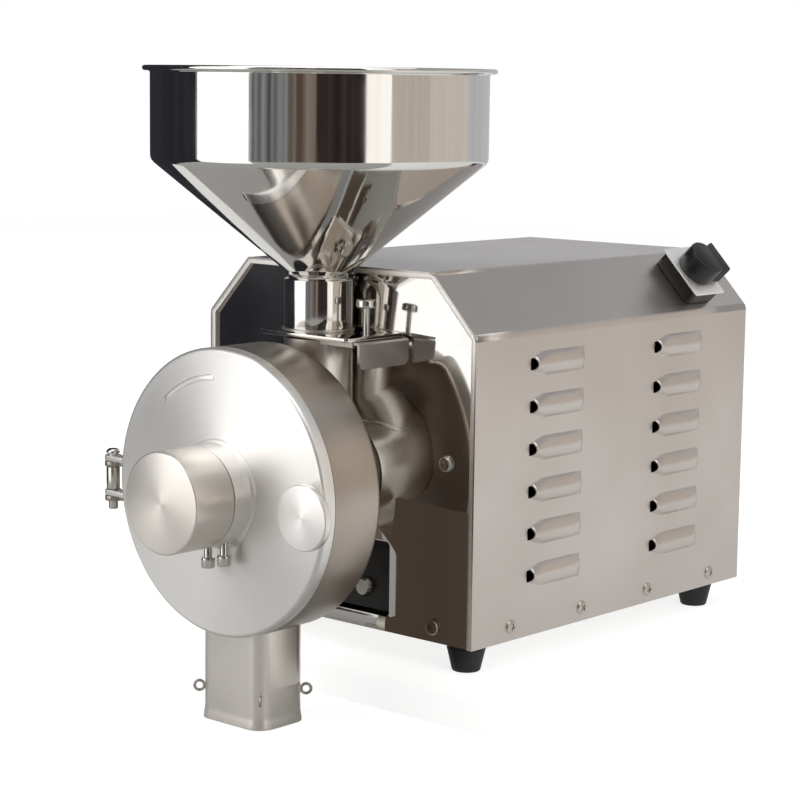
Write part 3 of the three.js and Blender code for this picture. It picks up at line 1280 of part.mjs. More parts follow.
// The sheet-metal pieces share one group, moved sideways from the mill's axis
function addCasing(machine) {
  const casing = new THREE.Group();
  casing.position.x = CASE_SHIFT;
  machine.add(casing);
  place(casing, "casing_shell", casingShell(), SATIN_STEEL);
  place(casing, "front_panel", frontPanel(), MIRROR_STEEL);
  place(casing, "rear_panel", rearPanel(), SATIN_STEEL);
  place(casing, "base_tray", baseTray(), SATIN_STEEL);
  addFeet(casing);
  addCasingScrews(casing);
  place(casing, "cable_gland", cableGland(), BLACK_PLASTIC, CASE_WIDTH / 2 - GLAND_INSET,
    CASE_LENGTH - PANEL_RECESS, GLAND_LEVEL);
  addSwitch(casing);
}

function addFeet(casing) {
  const across = CASE_WIDTH / 2 - FOOT_SIDE_INSET;
  for (const [side, sign] of [["left", -1], ["right", 1]]) {
    place(casing, `foot_front_${side}`, foot(), BLACK_RUBBER, sign * across, FOOT_FRONT_INSET);
    place(casing, `foot_rear_${side}`, foot(), BLACK_RUBBER, sign * across,
      CASE_LENGTH - FOOT_REAR_INSET);
  }
}

function addCasingScrews(casing) {
  sideScrewPlaces().forEach((along, i) => {
    for (const [side, sign] of [["right", 1], ["left", -1]]) {
      const screw = place(casing, `case_screw_${side}_${i + 1}`, sideScrew(), BRIGHT_ZINC,
        sign * CASE_WIDTH / 2, along, SIDE_SCREW_LEVEL);
      screw.rotation.z = sign * Math.PI / 2;
    }
  });
  panelBoltPlaces().forEach(([across, up], i) => {
    place(casing, `panel_bolt_${i + 1}`, panelBolt(), BRIGHT_ZINC, across, PANEL_RECESS, up);
  });
}

// Everything on the main axis shares one group whose own height is the axis height
function addMill(machine) {
  const axis = new THREE.Group();
  axis.position.z = AXIS_LEVEL;
  machine.add(axis);
  place(axis, "chamber_body", chamberBody(), SATIN_STEEL);
  place(axis, "front_cover", frontCover(), TURNED_STEEL);
  place(axis, "clamp_washer", clampWasher(), BRIGHT_ZINC, CLAMP_OFFSET, 0, -CLAMP_DROP);
  place(axis, "clamp_knob", clampKnob(), TURNED_STEEL, CLAMP_OFFSET, 0, -CLAMP_DROP);
  place(axis, "rotating_disc", rotatingDisc(), GROUND_STEEL);
  place(axis, "disc_nut", discNut(), GROUND_STEEL);
  place(axis, "fixed_disc", fixedDisc(), GROUND_STEEL);
  place(axis, "disc_carrier", discCarrier(), SATIN_STEEL);
  place(axis, "fineness_knob", finenessKnob(), TURNED_STEEL);
  place(axis, "fineness_screw", finenessScrew(), BRIGHT_ZINC);
  LOCK_SCREW_OFFSETS.forEach((across, i) => {
    place(axis, `lock_screw_${i + 1}`, lockScrew(), BRIGHT_ZINC, across, LOCK_SCREW_Y,
      -lockSeatDrop(across));
  });
  place(axis, "feed_throat", feedThroat(), SATIN_STEEL);
  place(axis, "feed_screw", feedScrew(), SATIN_STEEL);
  place(machine, "hinge_pin", hingePin(), BRIGHT_ZINC, -HINGE_OFFSET, HINGE_Y, 0);
  place(machine, "spout", placedSpout(), SATIN_STEEL);
  addBagEyes(machine);
  addMotor(axis);
}

// The spout is cut by the chamber after it has been moved under it
function placedSpout() {
  return spout().translate(0, spoutMiddle(), 0);
}

function addBagEyes(machine) {
  const cornerX = SPOUT_WIDTH / 2 - SPOUT_CORNER;
  const cornerY = SPOUT_DEPTH / 2 - SPOUT_CORNER;
  const corner = SPOUT_CORNER * CORNER_BULGE;
  const reach = corner + GAP / 2 + EYE_RING_RADIUS + EYE_WIRE_RADIUS;
  const step = reach * Math.SQRT1_2;
  const signs = [[-1, -1], [1, -1], [1, 1], [-1, 1]];
  signs.forEach(([signX, signY], i) => {
    const eye = place(machine, `bag_eye_${i + 1}`, bagEye(), BRIGHT_ZINC,
      signX * (cornerX + step), spoutMiddle() + signY * (cornerY + step), EYE_LEVEL);
    eye.rotation.z = signX * signY * Math.PI / 4;
  });
}

function addMotor(axis) {
  place(axis, "main_shaft", mainShaft(), GROUND_STEEL);
  place(axis, "shaft_seal", shaftSeal(), BLACK_RUBBER);
  place(axis, "motor_stator", motorStator(), WINDING_STEEL);
  place(axis, "motor_rotor", rotorCore(), WINDING_STEEL);
  place(axis, "motor_front_bell", frontBell(), BLACK_PAINT);
  place(axis, "motor_rear_bell", rearBell(), BLACK_PAINT);
  place(axis, "front_bearing", bearing(BELL_FRONT + GAP), GROUND_STEEL);
  place(axis, "rear_bearing", bearing(STATOR_REAR + BELL_REAR_LENGTH - BEARING_WIDTH - GAP),
    GROUND_STEEL);
  [-MOTOR_BOLT_OFFSET, MOTOR_BOLT_OFFSET].forEach((across, i) => {
    place(axis, `motor_bolt_${i + 1}`, motorBolt(), BRIGHT_ZINC, across, BRACKET_FRONT,
      motorBoltLevel() - AXIS_LEVEL);
  });
  place(axis, "cooling_fan", coolingFan(), BLACK_PLASTIC);
  const capacitorLevel = STATOR_RADIUS + GAP + CAPACITOR_BAND_HEIGHT + CAPACITOR_RADIUS;
  place(axis, "capacitor", capacitor(), GREY_PLASTIC, 0, 0, capacitorLevel);
}

function addFeed(machine) {
  place(machine, "gate_guide", gateGuide(), MIRROR_STEEL);
  place(machine, "slide_gate", slideGate(), SATIN_STEEL, TUBE_X, TUBE_Y, 0);
  place(machine, "gate_screw", gateScrew(), BRIGHT_ZINC, GATE_SCREW_X, GATE_SCREW_Y, 0);
  place(machine, "hopper", hopper(), MIRROR_STEEL, TUBE_X, TUBE_Y, 0);
}

// The switch sits in a group whose Z is square to the sloping side and whose X runs down it
function addSwitch(casing) {
  const group = new THREE.Group();
  group.position.set(CASE_WIDTH / 2 - CHAMFER_WIDTH / 2, CASE_LENGTH - SWITCH_REAR_INSET,
    CASE_HEIGHT - CHAMFER_HEIGHT / 2);
  group.rotation.y = Math.atan2(CHAMFER_HEIGHT, CHAMFER_WIDTH);
  casing.add(group);
  place(group, "switch_body", switchBody(), BLACK_PLASTIC);
  place(group, "switch_plate", switchPlate(), SATIN_STEEL);
  place(group, "switch_handle", switchHandle(), BLACK_PLASTIC);
}

// The finished machine stands with the middle of its box above the origin
function buildMachine() {
  const machine = new THREE.Group();
  addCasing(machine);
  addMill(machine);
  addFeed(machine);
  machine.updateMatrixWorld(true);
  const box = new THREE.Box3().setFromObject(machine, true);
  const middle = box.getCenter(new THREE.Vector3());
  machine.position.set(-middle.x, -middle.y, -box.min.z);
  const whole = new THREE.Group();
  whole.add(machine);
  return whole;
}

export default buildMachine();
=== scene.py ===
# %% [markdown]
# # A stainless steel disc mill for coffee, dressed for a studio picture
#
# The solid model of the mill is loaded first and never changed. Each visible piece is then
# made again with rounded edges and fine detail, in the same place, and gets a material that
# is worked out from what the real surface is and how it was made.

# %% Load the fixed frame
import math

import bmesh
import bpy
from mathutils import Matrix, Vector


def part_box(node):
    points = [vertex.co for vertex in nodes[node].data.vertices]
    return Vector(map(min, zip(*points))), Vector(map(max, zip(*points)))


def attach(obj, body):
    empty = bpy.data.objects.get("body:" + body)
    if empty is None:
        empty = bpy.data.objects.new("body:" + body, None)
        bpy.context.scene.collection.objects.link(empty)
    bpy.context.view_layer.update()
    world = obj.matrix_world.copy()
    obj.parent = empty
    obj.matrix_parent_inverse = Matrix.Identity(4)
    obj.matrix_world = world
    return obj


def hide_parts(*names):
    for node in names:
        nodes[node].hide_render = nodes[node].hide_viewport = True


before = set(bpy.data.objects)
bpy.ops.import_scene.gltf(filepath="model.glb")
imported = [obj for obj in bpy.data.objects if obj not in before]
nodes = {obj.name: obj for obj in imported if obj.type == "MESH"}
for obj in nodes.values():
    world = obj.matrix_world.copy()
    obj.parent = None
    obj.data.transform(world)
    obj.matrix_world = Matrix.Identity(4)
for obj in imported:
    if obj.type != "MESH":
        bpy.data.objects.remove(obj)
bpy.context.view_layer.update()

# %% [markdown]
# ## One measuring system
#
# Lengths are easiest to read in millimetres: X counted from the axis of the mill, Y from the
# casing's front edge and Z from its bottom edge. The casing reaches a little further to the left
# of that axis than to the right. Blender works in metres from the frame's own origin, so one
# function turns the first into the second.

# %% Millimetres on the casing to metres in the frame
MM = 0.001
CASE_MIDDLE = -4.75
AXIS_LEVEL = 100.0
casing_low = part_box("casing_shell")[0]
panel_low, panel_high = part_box("front_panel")
panel_middle = (panel_low.x + panel_high.x) / 2
CASING_ORIGIN = Vector((panel_middle - CASE_MIDDLE * MM, casing_low.y, casing_low.z))


def at(x, y, z):
    return CASING_ORIGIN + Vector((x, y, z)) * MM


print("casing origin in the frame:", [round(v, 4) for v in CASING_ORIGIN])

# %% [markdown]
# ## The camera
#
# The photograph looks down a little on the mill from its front right corner. The place of the
# camera was worked out from the corners of the casing and the ellipses of the round parts.

# %% Camera at the photograph's angle
CAMERA_EYE = (984.2, -1060.5, 354.7)
CAMERA_TARGET = (50.6, 0.0, 152.5)
CAMERA_ROLL = math.radians(0.7360)
CAMERA_LENS = 101.455
SENSOR_WIDTH = 36.0
scene = bpy.context.scene
camera_data = bpy.data.cameras.new("photo_camera")
camera_data.lens = CAMERA_LENS
camera_data.sensor_width = SENSOR_WIDTH
camera_data.clip_start = 50 * MM
camera = bpy.data.objects.new("photo_camera", camera_data)
scene.collection.objects.link(camera)
back = (at(*CAMERA_EYE) - at(*CAMERA_TARGET)).normalized()
right = Vector((0, 0, 1)).cross(back).normalized()
up = back.cross(right)
rolled_right = right * math.cos(CAMERA_ROLL) + up * math.sin(CAMERA_ROLL)
rolled_up = up * math.cos(CAMERA_ROLL) - right * math.sin(CAMERA_ROLL)
turn = Matrix((rolled_right, rolled_up, back)).transposed().to_4x4()
camera.matrix_world = Matrix.Translation(at(*CAMERA_EYE)) @ turn
scene.camera = camera
scene.view_settings.view_transform = "Standard"
distance = (at(*CAMERA_EYE) - at(*CAMERA_TARGET)).length
print("camera is", round(distance, 3), "m from what it looks at")

# %% [markdown]
# ## Colours and nodes
#
# Colours are written as sRGB hex values, the way a colour picker shows them, and one function
# turns them into the linear values that the shader needs. A second small function adds a node,
# sets what it is given, links the sockets that are passed to it and gives back one output.


# %% Helpers for materials
def linear(code):
    parts = [int(code[i : i + 2], 16) / 255 for i in (1, 3, 5)]
    toned = [c / 12.92 if c <= 0.04045 else ((c + 0.055) / 1.055) ** 2.4 for c in parts]
    return (*toned, 1.0)


def add_node(tree, kind, inputs=None, output=0, **settings):
    node = tree.nodes.new("ShaderNode" + kind)
    for key, value in settings.items():
        setattr(node, key, value)
    for key, value in (inputs or {}).items():
        if isinstance(value, bpy.types.NodeSocket):
            tree.links.new(value, node.inputs[key])
        else:
            node.inputs[key].default_value = value
    return node.outputs[output]


def start_material(name, colour, metallic, roughness):
    material = bpy.data.materials.new(name)
    material.use_nodes = True
    tree = material.node_tree
    shader = tree.nodes["Principled BSDF"]
    shader.inputs["Base Color"].default_value = linear(colour)
    shader.inputs["Metallic"].default_value = metallic
    shader.inputs["Roughness"].default_value = roughness
    return material, tree, shader


print("middle grey as linear light:", [round(part, 3) for part in linear("#808080")])

# %% [markdown]
# ## What a pattern does to a surface
#
# Each finish below is a plain metal or plastic. One pattern may tint it, one makes it duller or
# brighter, and one raises it by a small fraction of a millimetre. A noise seldom leaves the span
# from 0.3 to 0.7, and the sum of two seldom leaves 0.7 to 1.3, so it is these spans that are
# stretched over the colours and the roughness.

# %% Tint, gloss and relief
ONE_NOISE = (0.3, 0.7)
TWO_NOISES = (0.7, 1.3)


def blend(tree, pattern, first, second):
    """Runs from one colour, where a noise is low, to another, where it is high."""
    stretch = {"Value": pattern, "From Min": ONE_NOISE[0], "From Max": ONE_NOISE[1]}
    share = add_node(tree, "MapRange", stretch)
    ends = {"Factor": share, "A": linear(first), "B": linear(second)}
    return add_node(tree, "Mix", ends, "Result", data_type="RGBA")


def texture(tree, shader, gloss, rough, relief, depth, span=ONE_NOISE, strength=1.0):
    """Dulls the surface where one pattern is high and raises it where another is."""
    stretch = {"Value": gloss, "From Min": span[0], "From Max": span[1]}
    stretch |= {"To Min": rough[0], "To Max": rough[1]}
    tree.links.new(add_node(tree, "MapRange", stretch), shader.inputs["Roughness"])
    raised = {"Height": relief, "Distance": depth, "Strength": strength}
    tree.links.new(add_node(tree, "Bump", raised), shader.inputs["Normal"])


print("spans that are stretched:", ONE_NOISE, TWO_NOISES)

# %% [markdown]
# ## Brushed 304 stainless sheet
#
# The casing is satin sheet with a number 4 finish: a belt of 180 grit leaves short scratches all
# in one direction. They are about 0.1 mm apart, too fine to show here, so they are drawn 0.9 mm
# apart. Stretching a noise along the grain gives scratches of different length and depth, which
# looks more like a belt finish than a wave texture, whose lines never end.

# %% Brushed sheet
GRAIN_STEP = 0.9 * MM
GRAIN_LENGTH = 30 * MM
SHEET_CLOUD = 111.1 * MM


def brushed_sheet(name, along, first, second, rough, depth):
    material, tree, shader = start_material(name, first, 1.0, rough[0])
    where = add_node(tree, "TexCoord", output="Object")
    squeeze = [1 / GRAIN_STEP] * 3
    squeeze["XYZ".index(along)] = 1 / GRAIN_LENGTH
    squeezed = add_node(tree, "Mapping", {"Vector": where, "Scale": squeeze})
    lines = add_node(tree, "TexNoise", {"Vector": squeezed, "Scale": 1.0, "Detail": 2.0})
    cloud = add_node(tree, "TexNoise", {"Vector": where, "Scale": 1 / SHEET_CLOUD, "Detail": 3.0})
    tree.links.new(blend(tree, cloud, first, second), shader.inputs["Base Color"])
    both = add_node(tree, "Math", {0: lines, 1: cloud}, operation="ADD")
    texture(tree, shader, both, rough, lines, depth, TWO_NOISES)
    return material


CASING_SHEET = ("#cfc8c3", "#c4bdb7", (0.28, 0.36), 0.005 * MM)
SATIN_LONG = brushed_sheet("brushed_stainless_lengthwise", "Y", *CASING_SHEET)
SATIN_ACROSS = brushed_sheet("brushed_stainless_across", "X", *CASING_SHEET)
SCREW_STEEL = ("#ece7e0", "#dfd9d1", (0.26, 0.3), 0.0015 * MM)
SATIN_UPRIGHT = brushed_sheet("brushed_stainless_upright", "Z", *SCREW_STEEL)
print("scratches drawn", GRAIN_STEP / MM, "mm apart")

# %% [markdown]
# ## Polished and drawn stainless
#
# The hopper, its neck and the front panel were buffed with a mop until they reflect like a
# mirror. Thin sheet is never quite flat, so a very shallow, slow waviness bends the
# reflections, and a faint haze of wiping marks changes the roughness a little. The feed tubes and
# the spout are the same steel as it leaves the drawing die: smooth, but not a mirror.

# %% Polished sheet and drawn tube
HAZE_SIZE = 71.43 * MM
PANEL_WAVE = 0.03 * MM


def polished_sheet(name, colour, wave_height, wave_size, rough=(0.03, 0.1)):
    material, tree, shader = start_material(name, colour, 1.0, rough[0])
    where = add_node(tree, "TexCoord", output="Object")
    smears = {"Vector": where, "Scale": 1 / HAZE_SIZE, "Detail": 4.0, "Distortion": 1.5}
    waves = {"Vector": where, "Scale": 1 / wave_size, "Detail": 1.0}
    haze = add_node(tree, "TexNoise", smears)
    texture(tree, shader, haze, rough, add_node(tree, "TexNoise", waves), wave_height)
    return material


POLISHED_HOPPER = polished_sheet("polished_stainless_spun", "#dcdad6", 0.05 * MM, 41.67 * MM)
POLISHED_PANEL = polished_sheet("polished_stainless_flat", "#d5d2ce", PANEL_WAVE, 71.43 * MM)
POLISHED_NECK = polished_sheet(
    "polished_stainless_tube", "#dad7d2", 0.02 * MM, 16.67 * MM, (0.05, 0.14)
)
SATIN_TUBE = polished_sheet("drawn_stainless_tube", "#f3eee6", 0.006 * MM, 33.33 * MM, (0.26, 0.33))
print("waviness of the panel:", PANEL_WAVE / MM, "mm")

# %% [markdown]
# ## Turned stainless faces
#
# The cover and the knobs were faced on a lathe and rubbed with fine paper while they spun. Their
# marks are circles round the axis, and a lamp seen in them becomes a bright wedge that points at
# the middle. The grooves spread light across themselves, so the tangent of the anisotropic shader
# points along the spokes. Real marks are about 0.2 mm apart and are drawn 1.3 mm apart.

# %% Turned face
TURNING_STEP = 1.3 * MM
TURNED_CLOUD = 90.91 * MM
ROUND_Y = (0.0, 1.0, 0.0)


def turned_face(name, centre, first, second, rough, lean=0.45):
    material, tree, shader = start_material(name, first, 1.0, rough)
    where = add_node(tree, "TexCoord", output="Object")
    arm = add_node(tree, "VectorMath", {0: where, 1: centre}, operation="SUBTRACT")
    hoop = add_node(tree, "VectorMath", {0: ROUND_Y, 1: arm}, operation="CROSS_PRODUCT")
    spoke = add_node(tree, "VectorMath", {0: hoop, 1: ROUND_Y}, operation="CROSS_PRODUCT")
    way = {"vector_type": "VECTOR", "convert_from": "OBJECT", "convert_to": "WORLD"}
    world_spoke = add_node(tree, "VectorTransform", {"Vector": spoke}, **way)
    unit = add_node(tree, "VectorMath", {0: world_spoke}, operation="NORMALIZE")
    tree.links.new(unit, shader.inputs["Tangent"])
    shader.inputs["Anisotropic"].default_value = lean
    radius = add_node(tree, "VectorMath", {0: hoop}, "Value", operation="LENGTH")
    ring = add_node(tree, "CombineXYZ", {0: radius})
    marks = add_node(tree, "TexNoise", {"Vector": ring, "Scale": 1 / TURNING_STEP, "Detail": 3.0})
    cloud = add_node(tree, "TexNoise", {"Vector": where, "Scale": 1 / TURNED_CLOUD, "Detail": 4.0})
    tree.links.new(blend(tree, cloud, first, second), shader.inputs["Base Color"])
    both = add_node(tree, "Math", {0: marks, 1: cloud}, operation="ADD")
    texture(tree, shader, both, (rough - 0.05, rough + 0.07), marks, 0.004 * MM, TWO_NOISES)
    return material


CLAMP_X, CLAMP_LEVEL = 84, 98
MILL_CENTRE = at(0, -110, AXIS_LEVEL)
CLAMP_CENTRE = at(CLAMP_X, -115, CLAMP_LEVEL)
TURNED_COVER = turned_face("turned_stainless_cover", MILL_CENTRE, "#f3f1ee", "#e9e6e2", 0.39)
TURNED_KNOB = turned_face("turned_stainless_knob", MILL_CENTRE, "#f1ece5", "#e5dfd7", 0.34)
TURNED_CLAMP = turned_face("turned_stainless_clamp", CLAMP_CENTRE, "#f6f4f1", "#eeebe7", 0.36)
TURNED_DRUM = turned_face("turned_stainless_chamber", MILL_CENTRE, "#b9b0a6", "#a39a90", 0.32, 0.5)
print("centre of the turned marks:", [round(v, 4) for v in MILL_CENTRE])

# %% [markdown]
# ## Plated and ground metal, and the chamber's back
#
# Zinc-plated screws are bright but not clear, and ground steel is duller still. The back of the
# chamber is as dull, in a darker brown that is painted shade for the closed space between the
# chamber and the front panel. The anodised face of the switch and the sheared edge of the sheet
# are pale and nearly matt. A fine noise changes the gloss from one spot to the next, and a finer
# one breaks up the reflection. The real grain is below 0.1 mm, and is drawn about 1 mm wide so
# that it shows.

# %% Fasteners, bare metal and the chamber's painted shade
PLATING_SPOTS = 2.5 * MM
PLATING_GRAIN = 1.111 * MM


def plated(name, colour, rough):
    material, tree, shader = start_material(name, colour, 1.0, rough[0])
    where = add_node(tree, "TexCoord", output="Object")
    coarse = {"Vector": where, "Scale": 1 / PLATING_SPOTS, "Detail": 3.0}
    fine = {"Vector": where, "Scale": 1 / PLATING_GRAIN, "Detail": 2.0}
    gloss, relief = add_node(tree, "TexNoise", coarse), add_node(tree, "TexNoise", fine)
    texture(tree, shader, gloss, rough, relief, 0.02 * MM, strength=0.5)
    return material


# The chamber's back: a dull brown that is painted shade for the closed space between chamber and front
# panel.
CHAMBER_BACK_SHADE = plated("chamber_back_painted_shade", "#a3948a", (0.45, 0.6))
SHEARED_EDGE = plated("sheared_stainless_edge", "#f0ece6", (0.42, 0.52))
ANODISED = plated("anodised_aluminium", "#f4f4f2", (0.45, 0.55))
ZINC = plated("zinc_plated_steel", "#bfbbb4", (0.26, 0.38))
BRIGHT_PIN = plated("polished_steel_pin", "#d4d1cb", (0.12, 0.22))
GROUND = plated("ground_tool_steel", "#9a9792", (0.3, 0.45))
print("plated and bare metals:", [m.name for m in (ZINC, BRIGHT_PIN, GROUND, CHAMBER_BACK_SHADE)])

# %% [markdown]
# ## Rubber, plastic and motor paint
#
# Moulded rubber and plastic are dark, with a fine spark-eroded texture from the mould. Motor
# paint is sprayed thick and dries with a faint orange peel. Open-cell foam is so rough that it
# gives back hardly any light. A mould's texture is about 0.1 mm wide, and is drawn 0.5 or 0.7 mm
# wide so that it shows. Orange peel and the cells of foam are drawn at their real size.

# %% Moulded and sprayed finishes
MOULD_CLOUD = 16.67 * MM


def moulded(name, first, second, rough, texture_size, depth):
    material, tree, shader = start_material(name, first, 0.0, rough[0])
    where = add_node(tree, "TexCoord", output="Object")
    cloud = add_node(tree, "TexNoise", {"Vector": where, "Scale": 1 / MOULD_CLOUD, "Detail": 4.0})
    fine = {"Vector": where, "Scale": 1 / texture_size, "Detail": 3.0}
    tree.links.new(blend(tree, cloud, first, second), shader.inputs["Base Color"])
    texture(tree, shader, cloud, rough, add_node(tree, "TexNoise", fine), depth, strength=0.6)
    return material


RUBBER = moulded("moulded_rubber", "#161617", "#202021", (0.55, 0.7), 0.7 * MM, 0.05 * MM)
# Foam for the mat behind the rear slots, near-black as painted shade for the inside of the casing.
SHADE_FOAM = moulded("black_foam_painted_shade", "#0d0d0e", "#17171a", (0.8, 0.95), 1.2 * MM, 0.5 * MM)
ABS_BLACK = moulded("moulded_black_abs", "#0a0a0b", "#101011", (0.3, 0.4), 0.5 * MM, 0.02 * MM)
ABS_GREY = moulded("moulded_grey_abs", "#a9aaa7", "#9c9d9a", (0.4, 0.5), 0.7 * MM, 0.05 * MM)
MOTOR_PAINT = moulded(
    "sprayed_black_enamel", "#121213", "#1a1a1b", (0.3, 0.42), 1.6 * MM, 0.08 * MM
)
print("moulded finishes:", [m.name for m in (RUBBER, SHADE_FOAM, ABS_BLACK, ABS_GREY)])

# %% [markdown]
# ## The stack of the motor
#
# The stator and rotor are stacks of varnished steel sheets, each 0.5 mm thick. They are drawn
# 1.6 mm apart so that they show. The wave texture repeats every tau / 20 of its own unit, which is
# why its scale is not just one over the step.

# %% Laminations
SHEET_STEP = 1.6 * MM
WAVE_REPEAT = math.tau / 20
LAMINATIONS, tree, shader = start_material("varnished_steel_laminations", "#6d6964", 0.8, 0.5)
where = add_node(tree, "TexCoord", output="Object")
bands = {"wave_type": "BANDS", "bands_direction": "Y", "wave_profile": "SAW"}
sheets = add_node(
    tree, "TexWave", {"Vector": where, "Scale": WAVE_REPEAT / SHEET_STEP}, "Fac", **bands
)
ends = {"Factor": sheets, "A": linear("#6d6964"), "B": linear("#3f3b37")}
varnish = add_node(tree, "Mix", ends, "Result", data_type="RGBA")
tree.links.new(varnish, shader.inputs["Base Color"])
steps = add_node(tree, "Bump", {"Height": sheets, "Distance": 0.1 * MM, "Strength": 1.0})
tree.links.new(steps, shader.inputs["Normal"])
print("sheets drawn", SHEET_STEP / MM, "mm apart")

# %% [markdown]
# ## Ways to make a shape
#
# Nearly every piece here is turned, pressed from sheet or cut from plate. Each helper below works
# out points in casing millimetres, and one function makes an object of points and faces. It merges
# points that meet, and keeps an edge sharp where its faces meet at more than a given angle.
# Another says which body of the mill a piece moves with.


# %% From points and faces to an object
def smooth(mesh, angle):
    for polygon in mesh.polygons:
        polygon.use_smooth = True
    mesh.set_sharp_from_angle(angle=math.radians(angle))


def make(name, points, faces, material, angle=32.0):
    """Makes an object from points in casing millimetres."""
    mesh = bpy.data.meshes.new(name)
    mesh.from_pydata([at(*p) for p in points], [], faces)
    shaped = bmesh.new()
    shaped.from_mesh(mesh)
    bmesh.ops.remove_doubles(shaped, verts=shaped.verts, dist=0.002 * MM)
    bmesh.ops.dissolve_degenerate(shaped, edges=shaped.edges, dist=0.001 * MM)
    bmesh.ops.recalc_face_normals(shaped, faces=shaped.faces)
    shaped.to_mesh(mesh)
    shaped.free()
    smooth(mesh, angle)
    piece = bpy.data.objects.new(name, mesh)
    scene.collection.objects.link(piece)
    mesh.materials.append(material)
    return piece


def settle(piece, body, slot, *stands_for):
    """Says which body the piece moves with, and hides the solids that it stands for. The slot is not used.
    """
    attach(piece, body)
    if stands_for:
        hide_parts(*stands_for)
    print(piece.name, "moves with", body, "and has", len(piece.data.polygons), "faces")


def bake(piece):
    """The mesh of an object once its curve or its modifiers are worked out."""
    seen = piece.evaluated_get(bpy.context.evaluated_depsgraph_get())
    return bpy.data.meshes.new_from_object(seen)


# %% [markdown]
# A turned piece is a profile swept round an axis, as a lathe makes it. No real edge is knife-sharp,
# so each corner of the profile is eased into a small arc, which gives the edge its line of light.

# %% Turned pieces
ROUND_STEPS = 96
EASE_STEPS = 3
EASE_REACH_SHARE = 0.45


def bend(start, corner, stop, steps):
    """A soft curve from start to stop, pulled towards a corner."""
    shares = [step / steps for step in range(steps + 1)]
    return [tuple(start * (1 - t) ** 2 + corner * 2 * t * (1 - t) + stop * t * t) for t in shares]


def eased(profile, radius, closed):
    """Rounds the corners of a profile. A point may carry its own radius as a third value."""
    made = []
    for i, point in enumerate(profile):
        here = Vector(point[:2])
        size = point[2] if len(point) > 2 else radius
        before = Vector(profile[i - 1][:2]) - here
        after = Vector(profile[(i + 1) % len(profile)][:2]) - here
        is_end = not closed and i in (0, len(profile) - 1)
        if is_end or size == 0 or min(before.length, after.length) < 1e-6:
            made.append(tuple(here))
            continue
        reach = min(size, before.length * EASE_REACH_SHARE, after.length * EASE_REACH_SHARE)
        start = here + before.normalized() * reach
        made += bend(start, here, here + after.normalized() * reach, EASE_STEPS)
    return made


def spin(profile, centre, axis, steps, closed):
    """Sweeps a profile of (radius, distance along the axis) round an axis through the centre."""
    points, faces = [], []
    rows = len(profile)
    for i in range(steps):
        angle = math.tau * i / steps
        for radius, along in profile:
            across, high = radius * math.cos(angle), radius * math.sin(angle)
            offset = (across, along, high) if axis == "Y" else (across, high, along)
            points.append(tuple(a + b for a, b in zip(centre, offset)))
        j = (i + 1) % steps
        for k in range(rows if closed else rows - 1):
            m = (k + 1) % rows
            faces.append((i * rows + k, i * rows + m, j * rows + m, j * rows + k))
    return points, faces


def turned(name, profile, centre, material, axis="Y", ease=0.5, steps=ROUND_STEPS):
    closed = profile[0][0] != 0 or profile[-1][0] != 0
    points, faces = spin(eased(profile, ease, closed), centre, axis, steps, closed)
    return make(name, points, faces, material)


print("a full turn is drawn in", ROUND_STEPS, "steps")

# %% [markdown]
# A plate is a flat curve with holes. The curve fills itself, takes a thickness and rounds its own
# edges, which is simpler than cutting holes out of a solid and bevelling them. It is then turned
# into a mesh and placed upright or level.


# %% Pieces cut from sheet and plate
def arc(cx, cy, radius, start, stop, steps=12):
    span = [math.radians(start + (stop - start) * i / steps) for i in range(steps + 1)]
    return [(cx + radius * math.cos(a), cy + radius * math.sin(a)) for a in span]


def circle(cx, cy, radius, steps=48):
    return arc(cx, cy, radius, 0, 360, steps)[:-1]


def rounded(left, right, low, high, radius, steps=6):
    return [
        *arc(right - radius, high - radius, radius, 0, 90, steps),
        *arc(left + radius, high - radius, radius, 90, 180, steps),
        *arc(left + radius, low + radius, radius, 180, 270, steps),
        *arc(right - radius, low + radius, radius, 270, 360, steps),
    ]


def cut_plate(name, outline, holes, thickness, edge, placing, material, angle=32.0):
    """Cuts a plate. Placing turns (across, up, out of the middle) into casing millimetres."""
    curve = bpy.data.curves.new(name, "CURVE")
    curve.dimensions = "2D"
    curve.fill_mode = "BOTH"
    curve.extrude = thickness / 2 - edge
    curve.bevel_depth = edge
    curve.bevel_resolution = 1
    curve.offset = -edge
    for loop in (outline, *holes):
        spline = curve.splines.new("POLY")
        spline.points.add(len(loop) - 1)
        for point, place in zip(spline.points, loop):
            point.co = (*place, 0, 1)
        spline.use_cyclic_u = True
    holder = bpy.data.objects.new(name + "_curve", curve)
    scene.collection.objects.link(holder)
    flat = bake(holder)
    points = [placing(*vertex.co) for vertex in flat.vertices]
    faces = [tuple(polygon.vertices) for polygon in flat.polygons]
    bpy.data.objects.remove(holder)
    bpy.data.curves.remove(curve)
    bpy.data.meshes.remove(flat)
    return make(name, points, faces, material, angle)


def upright_across(middle):
    return lambda across, high, out: (across, middle - out, high)


def level_plate(middle, centre_y=0.0, centre_x=0.0):
    return lambda across, deep, out: (centre_x + across, centre_y + deep, middle + out)


print("points in the outline of a rounded plate:", len(rounded(-1, 1, -1, 1, 0.5)))

# %% [markdown]
# What is neither round nor flat is skinned over a row of sections, as a boat is over its frames.
# A wire ring and a bead of weld are the same thing, with a small circle for each section.


# %% Pieces skinned over sections
def skin(sections, closed_ends=True, ring=True):
    points = [p for section in sections for p in section]
    count = len(sections[0])
    faces = []
    for low in range(0, len(points) - count, count):
        for i in range(count if ring else count - 1):
            j = (i + 1) % count
            faces.append((low + i, low + j, low + count + j, low + count + i))
    if closed_ends:
        faces.append(tuple(range(count))[::-1])
        faces.append(tuple(range(len(points) - count, len(points))))
    return points, faces


WIRE_SIDES = 14


